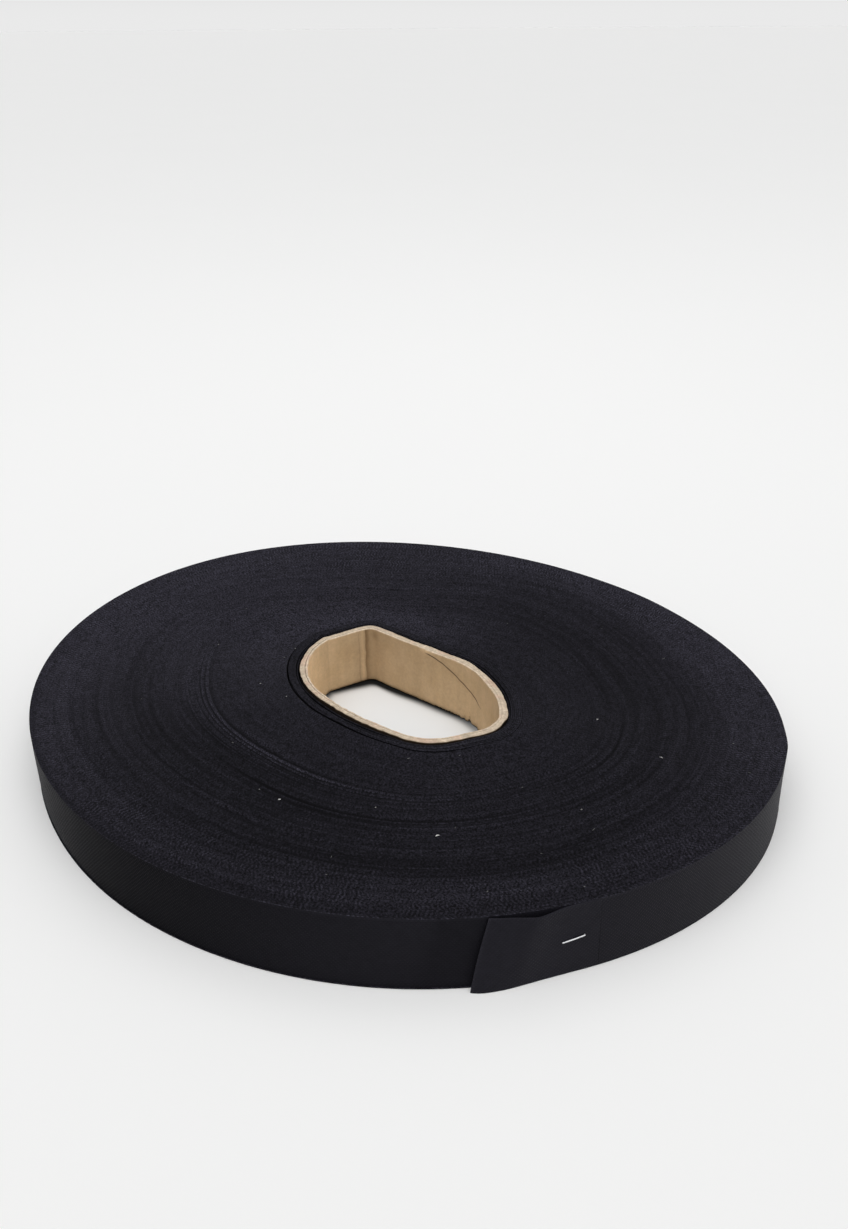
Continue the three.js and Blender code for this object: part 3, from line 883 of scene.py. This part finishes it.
def loose_end():
    steps, rows = 90, 48
    root_p, root_n = surface_below(np.array([ROOT_BEARING]))
    outline = turn_xy(np.array([1.0]), np.array([ROOT]))
    thick_root = float(((outline - root_p) @ root_n[0]).ravel()[0])
    i = np.arange(steps + 1)[:, None] / steps
    j = np.arange(rows + 1)[None] / rows
    cut = CUT_BOTTOM + (CUT_TOP - CUT_BOTTOM) * j - 0.16 * np.sin(math.pi * j)
    bearing = cut + (ROOT_BEARING - cut) * i
    base, normal = surface_below(bearing)
    start, _ = surface_below(cut)
    from_cut = np.linalg.norm(base - start, axis=-1)
    bow = smooth_column(from_cut, 2) * (1 - j) + smooth_column(from_cut, 1) * j
    bow = bow + 0.10 * np.sin(math.pi * j) * np.clip(1 - from_cut / 20, 0, 1)
    thick = SHEET + (thick_root - SHEET) * np.clip((i - 0.6) / 0.4, 0, 1)
    thick = thick * (1 - 0.25 * np.exp(-from_cut / 0.6))
    edge_z = float(outer_edge_heights(np.array([0]))[0])
    z = 0.06 + (0.22 - 0.06) * i + (edge_z - 0.22 + 0.16 * (1 - i)) * j
    z = z - 0.25 * np.exp(-((from_cut - 13) / 6) ** 2) * j ** 3             # the upper edge dips where it bows out
    uv_u = -(np.linalg.norm(base - surface_below(np.full_like(bearing, ROOT_BEARING))[0], axis=-1))
    foot = foot_push(np.degrees(np.arctan2(base[..., 1] - CENTRE[1], base[..., 0] - CENTRE[0]))) * (1 - j)
    sides = []
    for s in (0, 1):
        xy = base + normal * (bow + foot + s * thick)[..., None]
        sides.append(np.concatenate([xy, z[..., None]], -1).reshape(-1, 3))
    points = np.vstack(sides)
    n = (steps + 1) * (rows + 1)
    idx = lambda s, a, b: s * n + a * (rows + 1) + b
    faces = []
    a, b = [q.ravel() for q in np.meshgrid(np.arange(steps), np.arange(rows), indexing="ij")]
    faces.append(np.stack([idx(1, a, b), idx(1, a + 1, b), idx(1, a + 1, b + 1), idx(1, a, b + 1)], 1))
    faces.append(np.stack([idx(0, a, b), idx(0, a, b + 1), idx(0, a + 1, b + 1), idx(0, a + 1, b)], 1))
    a = np.arange(steps)
    faces.append(np.stack([idx(0, a, 0), idx(0, a + 1, 0), idx(1, a + 1, 0), idx(1, a, 0)], 1))
    faces.append(np.stack([idx(0, a, rows), idx(1, a, rows), idx(1, a + 1, rows), idx(0, a + 1, rows)], 1))
    b = np.arange(rows)
    faces.append(np.stack([idx(0, 0, b), idx(1, 0, b), idx(1, 0, b + 1), idx(0, 0, b + 1)], 1))
    faces.append(np.stack([idx(0, steps, b), idx(0, steps, b + 1), idx(1, steps, b + 1), idx(1, steps, b)], 1))
    faces = np.vstack(faces)
    uv = np.column_stack([np.r_[uv_u.ravel(), uv_u.ravel()], points[:, 2]])
    near = np.exp(-from_cut / 0.5)
    rim = np.exp(-(1 - j) * 25.4 / 0.3) + 0 * from_cut
    # rim: a painted highlight along the upper edge
    tone = 1 + 0.45 * near + 0.25 * rim + 0.12 * np.clip((from_cut - 12) / 6, 0, 1) * (1 - 0.5 * j)
    late = np.clip((from_cut - 14) / (from_cut.max() - 14.5), 0, 1)
    tone = tone + (0.98 + 0.25 * rim - tone) * late ** 1.5                   # it meets the turn below without a step
    obj = make("loose_strip_end", points, faces, FACE_END, {"strip": uv}, {"tone": np.r_[tone.ravel(), tone.ravel()]})
    mod = obj.modifiers.new("edges", "BEVEL")
    mod.width, mod.segments, mod.limit_method, mod.angle_limit = 0.00008, 2, "ANGLE", math.radians(50)
    return obj, float(from_cut[-1].mean())


end, END_LENGTH = loose_end()
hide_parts("loose_end")


# ---------------------------------------------------------------- the staple

def steel_material():
    m = Nodes("bright_wire")
    place = m.coordinates()
    scratch = m.noise(place, 2600.0, 3.0, 0.6)
    blotch = m.noise(place, 420.0, 2.0, 0.5)
    f = m.math("MULTIPLY", m.ranged(scratch, 0.3, 0.7, 0.88, 1.06), m.ranged(blotch, 0.3, 0.7, 0.9, 1.05))
    m.link(m.scaled((0.80, 0.80, 0.82), f), m.shader.inputs["Base Color"])
    m.shader.inputs["Metallic"].default_value = 1.0
    m.put(m.shader.inputs["Roughness"], m.ranged(scratch, 0.3, 0.7, 0.26, 0.42))
    m.link(m.bump(scratch, 0.3, 0.00002), m.shader.inputs["Normal"])
    return m.material


def staple():
    s = STAPLE
    p, n = surface_below(np.array([s["bearing"]]))
    a = math.radians(s["bearing"])
    fc = np.linalg.norm(p[0] - surface_below(np.array([CUT_TOP]))[0][0])
    bow = 0.5 * (smooth_column(np.array([fc]), 1)[0] + smooth_column(np.array([fc]), 2)[0])
    outward = np.array([math.cos(a), math.sin(a), 0])
    flat = np.array([-math.sin(a), math.cos(a), 0])
    tilt = math.radians(s["tilt"])
    along = flat * math.cos(tilt) + np.array([0, 0, 1]) * math.sin(tilt)
    middle = np.array([p[0][0], p[0][1], s["height"]]) + outward * (bow + LAYER + s["stand"] + s["wire"] / 2)
    half, r = s["crown"] / 2 - s["wire"] / 2, 0.26
    path = []
    for t in np.linspace(0, 1, 5):
        path.append((-half, -s["leg"] + (s["leg"] - r) * t))
    for t in np.linspace(0, 1, 8)[1:]:
        path.append((-half + r - r * math.cos(t * math.pi / 2), -r + r * math.sin(t * math.pi / 2)))
    for t in np.linspace(0, 1, 12)[1:]:
        x = (-half + r) + 2 * (half - r) * t
        path.append((x, 0.07 * math.sin(math.pi * t)))
    for t in np.linspace(0, 1, 8)[1:]:
        path.append((half - r + r * math.sin(t * math.pi / 2), -r + r * math.cos(t * math.pi / 2)))
    for t in np.linspace(0, 1, 5)[1:]:
        path.append((half, -r - (s["leg"] - r) * t))
    path = np.array(path)
    across = np.cross(along, outward)
    centres = middle + path[:, :1] * along + path[:, 1:] * outward
    tangent = np.gradient(centres, axis=0)
    tangent /= np.linalg.norm(tangent, axis=1)[:, None]
    ring = 14
    # the wire is rolled a little flat on its face
    points = []
    for c, t in zip(centres, tangent):
        side = np.cross(across, t)
        side /= np.linalg.norm(side)
        for q in range(ring):
            w = 2 * math.pi * q / ring
            cs, sn = math.cos(w), math.sin(w)
            f = 0.5 * s["wire"] / max(abs(cs) ** 2.6 + abs(sn) ** 2.6, 1e-6) ** (1 / 2.6)
            points.append(c + side * cs * f * 0.92 + across * sn * f * 1.04)
    points = np.array(points)
    m = len(centres)
    q = np.arange(ring)
    faces = np.vstack([np.stack([i * ring + q, i * ring + (q + 1) % ring, (i + 1) * ring + (q + 1) % ring, (i + 1) * ring + q], 1) for i in range(m - 1)])
    caps = []
    extra = [centres[0] - tangent[0] * 0.25, centres[-1] + tangent[-1] * 0.25]
    points = np.vstack([points, extra])
    for base, tip, turn in ((0, m * ring, True), ((m - 1) * ring, m * ring + 1, False)):
        for k in range(ring):
            x, y = base + k, base + (k + 1) % ring
            caps.append((y, x, tip, tip) if turn else (x, y, tip, tip))
    # the caps are triangles, made with a second corner split off the tip
    tips = []
    for c in caps:
        tips.append((c[0], c[1], c[2]))
    tri = np.array(tips)
    quads = np.vstack([np.stack([f[0], f[1], f[2]]) for f in faces] + [np.stack([f[0], f[2], f[3]]) for f in faces])
    return make("staple_wire", points, np.vstack([quads, tri]), steel_material())


wire = staple()
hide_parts("staple")


# ---------------------------------------------------------------- the cardboard tube

def card_material():
    m = Nodes("kraft_board")
    place = m.coordinates()
    _, round_, high = m.uv("wall")
    black_shade, rim, ply_and_shade = m.attribute("black_shade"), m.attribute("rim"), m.attribute("ply_and_shade")
    inside = m.math("LESS_THAN", rim, 0.5)
    fine = m.noise(place, 900.0, 4.0, 0.65)
    mottle = m.noise(place, 95.0, 3.0, 0.55)
    tall = m.noise(m.stretched(place, (260.0, 260.0, 36.0)), 1.0, 2.0, 0.5)
    wobble = m.math("MULTIPLY_ADD", m.noise(place, 160.0, 2.0, 0.5), 2.2, -1.1)
    # the folded corner: a dark line of painted shade in the fold, brown fading away on one side of it, a paler strip of
    # painted light on the other
    c = m.math("ADD", m.math("ADD", round_, -CREASE_AT), wobble)
    up = m.ranged(high, 1.0, 15.0, 0.45, 1.0)
    crease_shade = m.math("MULTIPLY", m.bell(c, -0.5, 1.0), 0.36)
    fading = m.math("MULTIPLY", m.math("EXPONENT", m.math("MULTIPLY", m.math("ABSOLUTE", c), -0.17)), m.math("LESS_THAN", c, 0.0))
    marks = m.math("ADD", m.math("MULTIPLY", crease_shade, up), m.math("MULTIPLY", fading, 0.50))
    thin = m.math("MULTIPLY", m.bell(c, 3.5, 0.28), m.ranged(high, 2.0, 21.0, 0.40, 0.22))
    patch = m.math("MULTIPLY", m.math("MULTIPLY", m.bell(c, -5.2, 1.1), m.bell(high, 22.3, 1.5)), 0.34)
    marks = m.math("ADD", marks, m.math("ADD", thin, patch))
    pale = m.math("MULTIPLY", m.bell(c, 1.3, 0.7), 0.16)
    # the slanting seam of the innermost ply
    t = m.math("DIVIDE", round_, 66.5)
    seam = m.math("MULTIPLY_ADD", t, SEAM[3], SEAM[2])
    seam = m.math("MULTIPLY_ADD", m.math("MULTIPLY", seam, t), 1.0, SEAM[1])
    seam = m.math("MULTIPLY_ADD", m.math("MULTIPLY", seam, t), 1.0, SEAM[0])
    d = m.math("ADD", m.math("SUBTRACT", high, seam), m.math("MULTIPLY", wobble, 0.25))
    near = m.math("MULTIPLY", m.ranged(round_, 1.5, 8.0, 0.0, 1.0), m.ranged(round_, 66.0, 61.0, 0.0, 1.0))
    line = m.math("MULTIPLY", m.math("MULTIPLY", m.bell(d, 0.0, 0.22), near), 1.0)
    # a few small brown spots low down at the right
    for at, z, wide, tall_, dark in ((16.5, 3.0, 0.5, 0.35, 0.6), (21.5, 2.1, 0.7, 0.3, 0.5), (27.0, 4.2, 0.4, 0.5, 0.3)):
        spot = m.math("MULTIPLY", m.bell(round_, at, wide), m.bell(high, z, tall_))
        marks = m.math("ADD", marks, m.math("MULTIPLY", spot, dark))
    low = m.math("MULTIPLY", m.ranged(high, 0.5, 2.0, 0.30, 0.0), m.ranged(mottle, 0.35, 0.65, 0.4, 1.0))
    marks = m.math("MULTIPLY", m.math("ADD", marks, low), inside)
    wall = m.mixed(m.ranged(mottle, 0.3, 0.7, 0.0, 1.0), (0.505, 0.357, 0.203, 1), (0.577, 0.415, 0.249, 1))
    edge = m.mixed(m.ranged(fine, 0.3, 0.7, 0.0, 1.0), (0.53, 0.420, 0.30, 1), (0.69, 0.580, 0.45, 1))
    pink = m.ranged(m.noise(place, 150.0, 2.0, 0.5), 0.52, 0.66, 0.0, 0.55)
    edge = m.mixed(pink, edge, (0.60, 0.40, 0.30, 1))
    colour = m.mixed(rim, wall, edge)
    f = m.math("MULTIPLY", m.ranged(fine, 0.3, 0.7, 0.92, 1.08), m.ranged(tall, 0.3, 0.7, 0.95, 1.05))
    # brightness from the plies' tone together with painted light and painted shade
    f = m.math("MULTIPLY", f, m.math("ADD", ply_and_shade, pale))
    colour = m.mixed(m.math("ADD", marks, 0.0, clamp=True), colour, (0.190, 0.112, 0.050, 1))
    # painted shade (the outer face in the gap, the gaps between plies, the lower edge) and the seam line darken the
    # colour towards near black
    colour = m.mixed(m.math("ADD", black_shade, m.math("MULTIPLY", line, inside), clamp=True), colour, (0.065, 0.034, 0.017, 1))
    m.link(m.scaled(colour, f), m.shader.inputs["Base Color"])
    m.put(m.shader.inputs["Roughness"], m.ranged(fine, 0.3, 0.7, 0.78, 0.94))
    m.shader.inputs["Specular IOR Level"].default_value = 0.25
    m.link(m.bump(m.math("ADD", fine, m.math("MULTIPLY", mottle, 1.5)), 0.4, 0.0002), m.shader.inputs["Normal"])
    return m.material


def wandering(lobes, falls, columns):
    x = noise_rows(1, lobes, falls)[0]
    return np.interp(np.arange(columns) / columns * COLUMNS, np.arange(COLUMNS + 1), np.r_[x, x[:1]])


def tube():
    columns = 720
    theta = 2 * math.pi * np.arange(columns) / columns - math.pi
    deg = np.degrees(theta)
    ro, ri = tube_outer(theta), tube_inner(theta)
    # the cut edge: slightly uneven, its outer corner torn near the right-hand end
    ro = ro + 0.06 * wandering(70, 0.1, columns) + 0.10 * wandering(16, 0.3, columns)
    ro = ro - 0.48 * bell(turned_from(deg, -112), 38) - 0.55 * bell(turned_from(deg, -38), 2.2) + 0.25 * bell(turned_from(deg, -31), 2.0)
    ri = ri + 0.05 * wandering(60, 0.1, columns) + 0.10 * wandering(14, 0.3, columns)
    top = TUBE_TOP + 0.05 * wandering(60, 0.1, columns) + 0.07 * wandering(10, 0.3, columns)
    # the lower edge: ragged towards the right-hand end of the far wall, and clear of the floor by the folded corner
    lower = 0.36 + 0.70 * bell(turned_from(deg, CREASE_AT - 4), 12) + 0.15 * bell(turned_from(deg, 140), 22)
    lower = lower + 0.09 * wandering(40, 0.2, columns) + bell(turned_from(deg, 24), 22) * 0.60 * np.abs(wandering(70, 0.05, columns))
    lower = np.clip(lower, 0.10, 2.2)
    sections = []

    def ring(depth, z, black_shade=0.0, rim=0.0, ply_and_shade=1.0):
        """depth: how far in from the outer face, 0 to 1 of the wall."""
        full = lambda x: np.broadcast_to(x, (columns,)).copy()
        sections.append((ro + (ri - ro) * depth, full(z), full(black_shade), full(rim), full(ply_and_shade)))

    for t in (0.0, 0.3, 0.6, 0.9):                                # outer face, painted almost black as shade in the gap behind the first turn
        ring(0.0, lower + 0.1 + (top - 1.0 - lower) * t, 0.95, 0.0, 0.20)
    ring(0.0, top - 0.55, 0.95, 0.0, 0.22)
    ring(0.0, top - 0.28, 0.70, 0.0, 0.50)
    plies = [(0.02, -0.16, 0.80), (0.07, -0.04, 0.93), (0.24, 0.0, 1.0), (0.30, -0.05, 0.90), (0.36, 0.0, 1.0),
             (0.52, 0.01, 1.02), (0.63, -0.01, 1.02), (0.67, -0.14, 0.62), (0.71, -0.13, 0.62), (0.75, 0.0, 1.06),
             (0.86, 0.0, 1.10), (0.95, -0.03, 1.14), (0.99, -0.13, 1.10)]
    loosened = np.clip(bell(turned_from(deg, -150), 48) + 0.8 * bell(turned_from(deg, 140), 26) + 0.25, 0, 1)
    fuzz = 0.04 * wandering(90, 0.0, columns)
    # the gaps between loosened plies at the rim are painted darker: painted shade
    for depth, dip, shade in plies:
        parted = loosened if shade < 0.75 else 0.5 + 0.5 * loosened
        ring(depth + 0.012 * wandering(30, 0.1, columns) * (0.1 < depth < 0.9), top + dip * parted, np.clip((1 - shade) * 1.2 * parted, 0, 1), 1.0, 1 + (shade - 1) * parted + fuzz)
    lift = 0.16 * bell(turned_from(deg, 64), 4.0)                 # a flap of the inner ply above the seam
    for t in np.r_[0.985, 0.96, np.linspace(0.93, 0.07, 38), 0.035, 0.0]:
        z = lower + 0.05 + (top - 0.12 - lower) * t
        # painted light and painted shade round the inner wall: lighter at the left, darker by the folded corner and at
        # the foot, lighter where the inner ply's flap stands out
        shade = 1.0 + 1.00 * bell(turned_from(deg, 170), 22) + 0.05 * bell(turned_from(deg, -20), 40) - 0.13 * bell(turned_from(deg, 92), 36)
        shade = shade * (1 - 0.10 * bell(z - lower, 0.8))
        out = lift * bell(z - 24, 1.2)
        ring(1.0 + out, z, 0.0, 0.0, shade + out * 1.2)
    # the lower edge is painted dark: painted shade
    ring(0.97, lower, 0.25, 0.0, 0.9)
    ring(0.5, lower + 0.03, 0.4, 0.0, 0.8)
    ring(0.03, lower, 0.5, 0.0, 0.8)
    count = len(sections)
    points = np.vstack([np.column_stack([CENTRE[0] + r * np.cos(theta), CENTRE[1] + r * np.sin(theta), z]) for r, z, *_ in sections])
    get = lambda i: np.concatenate([s[i] for s in sections])
    a = np.arange(columns)
    b = (a + 1) % columns
    step = 360 / columns
    faces, uv = [], []
    for j in range(count):
        k = (j + 1) % count
        faces.append(np.stack([j * columns + a, j * columns + b, k * columns + b, k * columns + a], 1))
        zj, zk = sections[j][1], sections[k][1]
        uv.append(np.stack([np.column_stack([deg, zj]), np.column_stack([deg + step, zj[b]]), np.column_stack([deg + step, zk[b]]), np.column_stack([deg, zk])], 1))
    faces = np.vstack(faces)
    return make("cardboard_tube", points, faces, card_material(), {"wall": np.vstack(uv).reshape(-1, 2)},
                {"black_shade": get(2), "rim": get(3), "ply_and_shade": get(4)})


board = tube()
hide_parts("core_tube")
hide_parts("strip_roll")


# ---------------------------------------------------------------- lint

def lint():
    m = Nodes("lint")
    place = m.coordinates()
    bright = m.attribute("bright")
    f = m.math("MULTIPLY", m.ranged(m.noise(place, 3000.0, 2.0, 0.6), 0.3, 0.7, 0.7, 1.15), bright)
    m.link(m.scaled((0.93, 0.92, 0.90), f), m.shader.inputs["Base Color"])
    m.shader.inputs["Roughness"].default_value = 0.9
    m.shader.inputs["Sheen Weight"].default_value = 0.2
    points, faces, bright = [], [], []
    lift_all = along_spiral(LIFT)
    for x, y, long, wide, turned, shine in LINT:
        a = math.radians(turned)
        segments, ring = 9, 6
        start = len(points)
        bend = rng.normal() * 0.35
        curl = rng.normal(size=segments + 1) * 0.08
        for i in range(segments + 1):
            t = i / segments * 2 - 1
            thick = wide * 0.42 * math.sqrt(max(1 - t * t, 0.02)) * (0.75 + 0.5 * rng.random())
            cx = t * long / 2
            cy = bend * long * (t * t - 0.33) * 0.5 + curl[i] * wide
            cz = 0.10 + thick * 0.6 + 0.1 * rng.random()
            for q in range(ring):
                w = 2 * math.pi * q / ring
                dy, dz = math.cos(w) * thick, math.sin(w) * thick * 0.75
                lx, ly = cx, cy + dy
                points.append((x + BOX_MIDDLE[0] + lx * math.cos(a) - ly * math.sin(a), y + BOX_MIDDLE[1] + lx * math.sin(a) + ly * math.cos(a), STRIP_WIDTH + cz + dz))
                bright.append(shine)
        for i in range(segments):
            for q in range(ring):
                faces.append((start + i * ring + q, start + i * ring + (q + 1) % ring, start + (i + 1) * ring + (q + 1) % ring))
                faces.append((start + i * ring + q, start + (i + 1) * ring + (q + 1) % ring, start + (i + 1) * ring + q))
        for q in range(1, ring - 1):
            faces.append((start, start + q + 1, start + q))
            e = start + segments * ring
            faces.append((e, e + q, e + q + 1))
    return make("lint_specks", np.array(points), np.array(faces), m.material, None, {"bright": np.array(bright)})


lint()


# ---------------------------------------------------------------- floor, light, camera

def floor():
    m = Nodes("pale_floor")
    shade = m.attribute("shade")
    place = m.coordinates()
    grain = m.noise(place, 3.0, 2.0, 0.5)
    f = m.math("MULTIPLY", shade, m.ranged(grain, 0.2, 0.8, 0.996, 1.004))
    # inside the tube's opening the floor is painted a cooler tint, to offset the warm light bounced off the cardboard
    inside = m.attribute("inside")
    m.link(m.mixed(inside, m.scaled((0.96, 0.96, 0.957), f), m.scaled((0.925, 0.955, 0.975), f)), m.shader.inputs["Base Color"])
    m.shader.inputs["Roughness"].default_value = 0.9
    m.shader.inputs["Specular IOR Level"].default_value = 0.1
    columns = 360
    theta = 2 * math.pi * np.arange(columns) / columns - math.pi
    inner = tube_inner(theta)
    rings = []
    # the floor inside the tube's opening is painted 7 per cent darker: painted shade
    for t in (0.02, 0.3, 0.6, 0.75):
        rings.append((inner * t, np.full(columns, 0.93)))
    degrees = np.degrees(theta)
    # a painted shadow: the floor at the foot of the tube's far inner wall is painted dark, widest by the folded corner
    far = np.clip(bell(turned_from(degrees, 80), 60) * 1.35, 0, 1)
    reach = 2.2 + 2.1 * bell(turned_from(degrees, CREASE_AT - 8), 13)
    for d in (12.0, 9.0, 7.0, 5.5, 4.9, 4.4, 4.0, 3.6, 3.2, 2.8, 2.4, 2.0, 1.6, 1.2, 0.7, 0.0, -2.0):
        dark = np.minimum(1.07 / (1 + np.exp((d - reach) / 0.85)), 1.0)
        rings.append((np.maximum(inner - d, inner * 0.76), (1 - 0.985 * dark * far) * (0.93 if d > 0 else 1.0)))
    for r in (130.0, 200.0, 260.0, 330.0, 420.0, 540.0, 700.0, 900.0, 1200.0, 1700.0, 2600.0, 5000.0, 12000.0, 40000.0):
        rings.append((np.full(columns, r), np.ones(columns)))
    points = np.vstack([np.column_stack([CENTRE[0] + r * np.cos(theta), CENTRE[1] + r * np.sin(theta), np.zeros(columns)]) for r, _ in rings])
    shade = np.concatenate([s for _, s in rings])
    a = np.arange(columns)
    b = (a + 1) % columns
    faces = [np.stack([j * columns + a, (j + 1) * columns + a, (j + 1) * columns + b, j * columns + b], 1) for j in range(len(rings) - 1)]
    faces = np.vstack(faces)
    # the middle is a fan of triangles
    points = np.vstack([points, [CENTRE[0], CENTRE[1], 0]])
    shade = np.r_[shade, 0.93]
    inside = (np.hypot(points[:, 0] - CENTRE[0], points[:, 1] - CENTRE[1]) < 60).astype(float)
    fan = np.stack([np.full(columns, len(points) - 1), a, b], 1)
    faces = np.vstack([faces[:, [0, 1, 2]], faces[:, [0, 2, 3]], fan])
    make("floor", points, faces, m.material, None, {"shade": shade, "inside": inside}, smooth=False, stage=True)


floor()

scene = bpy.context.scene
world = bpy.data.worlds.new("studio")
scene.world = world
world.use_nodes = True
nodes, links = world.node_tree.nodes, world.node_tree.links
background = nodes["Background"]
background.inputs["Color"].default_value = (1.0, 1.0, 1.0, 1.0)


def sky(kind, **settings):
    node = nodes.new(kind)
    for key, value in settings.items():
        setattr(node, key, value)
    return node


def sky_range(value, values, smooth=True):
    node = sky("ShaderNodeMapRange", interpolation_type="SMOOTHSTEP" if smooth else "LINEAR")
    links.new(value, node.inputs["Value"])
    for key, v in zip(("From Min", "From Max", "To Min", "To Max"), values):
        node.inputs[key].default_value = v
    return node.outputs["Result"]


def sky_add(a, b):
    node = sky("ShaderNodeMath", operation="ADD")
    links.new(a, node.inputs[0])
    links.new(b, node.inputs[1])
    return node.outputs[0]


# An even, pale surround that is brightest overhead, with a weaker pool at the right.
way = sky("ShaderNodeTexCoord").outputs["Generated"]
parts = sky("ShaderNodeSeparateXYZ")
links.new(way, parts.inputs[0])
level = sky_range(parts.outputs[2], (0.0, 0.12, 0.82, 0.30))
for toward, begins, full, strength in (((-0.05, -0.48, 0.87), 46, 14, 2.02), ((0.93, -0.15, 0.33), 50, 10, 0.24)):
    length = math.sqrt(sum(v * v for v in toward))
    dot = sky("ShaderNodeVectorMath", operation="DOT_PRODUCT")
    links.new(way, dot.inputs[0])
    dot.inputs[1].default_value = tuple(v / length for v in toward)
    pool = sky_range(dot.outputs["Value"], (math.cos(math.radians(begins)), math.cos(math.radians(full)), 0.0, strength))
    level = sky_add(level, pool)
links.new(level, background.inputs["Strength"])


def softbox(name, place, aim, size, power, colour=(1, 1, 1)):
    light = bpy.data.lights.new(name, "AREA")
    light.shape = "RECTANGLE"
    light.size, light.size_y = size
    light.energy = power
    light.color = colour
    obj = bpy.data.objects.new(name, light)
    place, aim = np.array(place, float), np.array(aim, float)
    z = place - aim
    z /= np.linalg.norm(z)
    x = np.cross([0, 1, 0.001], z)
    x /= np.linalg.norm(x)
    y = np.cross(z, x)
    obj.matrix_world = Matrix(((x[0], y[0], z[0], place[0]), (x[1], y[1], z[1], place[1]), (x[2], y[2], z[2], place[2]), (0, 0, 0, 1)))
    scene.collection.objects.link(obj)


softbox("overhead", (0.0, 0.45, 1.8), (0, 0.45, 0), (1.8, 1.8), 1.4)
softbox("behind", (0.03, 0.42, 0.85), (0.02, 0.34, 0), (0.6, 0.6), 0.52)

scene.view_settings.view_transform = "Standard"
scene.view_settings.look = "None"
scene.view_settings.exposure = 0.0
scene.view_settings.gamma = 1.0

# The camera stands where the photograph was taken from, with the same field of view.
ELEVATION, ROLLED = math.radians(26.7832), math.radians(0.4239)
data = bpy.data.cameras.new("camera")
data.sensor_fit = "AUTO"
data.sensor_width = 36.0
data.lens = 34.538
data.clip_start, data.clip_end = 0.01, 100.0
camera = bpy.data.objects.new("camera", data)
right = np.array([1.0, 0.0, 0.0])
up = np.array([0.0, math.sin(ELEVATION), math.cos(ELEVATION)])
back = np.array([0.0, -math.cos(ELEVATION), math.sin(ELEVATION)])
right_c = math.cos(ROLLED) * right - math.sin(ROLLED) * up
up_c = math.sin(ROLLED) * right + math.cos(ROLLED) * up
spot = np.array([10.1417, -392.588, 252.196]) / 1000
camera.matrix_world = Matrix([[right_c[i], up_c[i], back[i], spot[i]] for i in range(3)] + [[0, 0, 0, 1]])
scene.collection.objects.link(camera)
scene.camera = camera

bpy.context.view_layer.update()
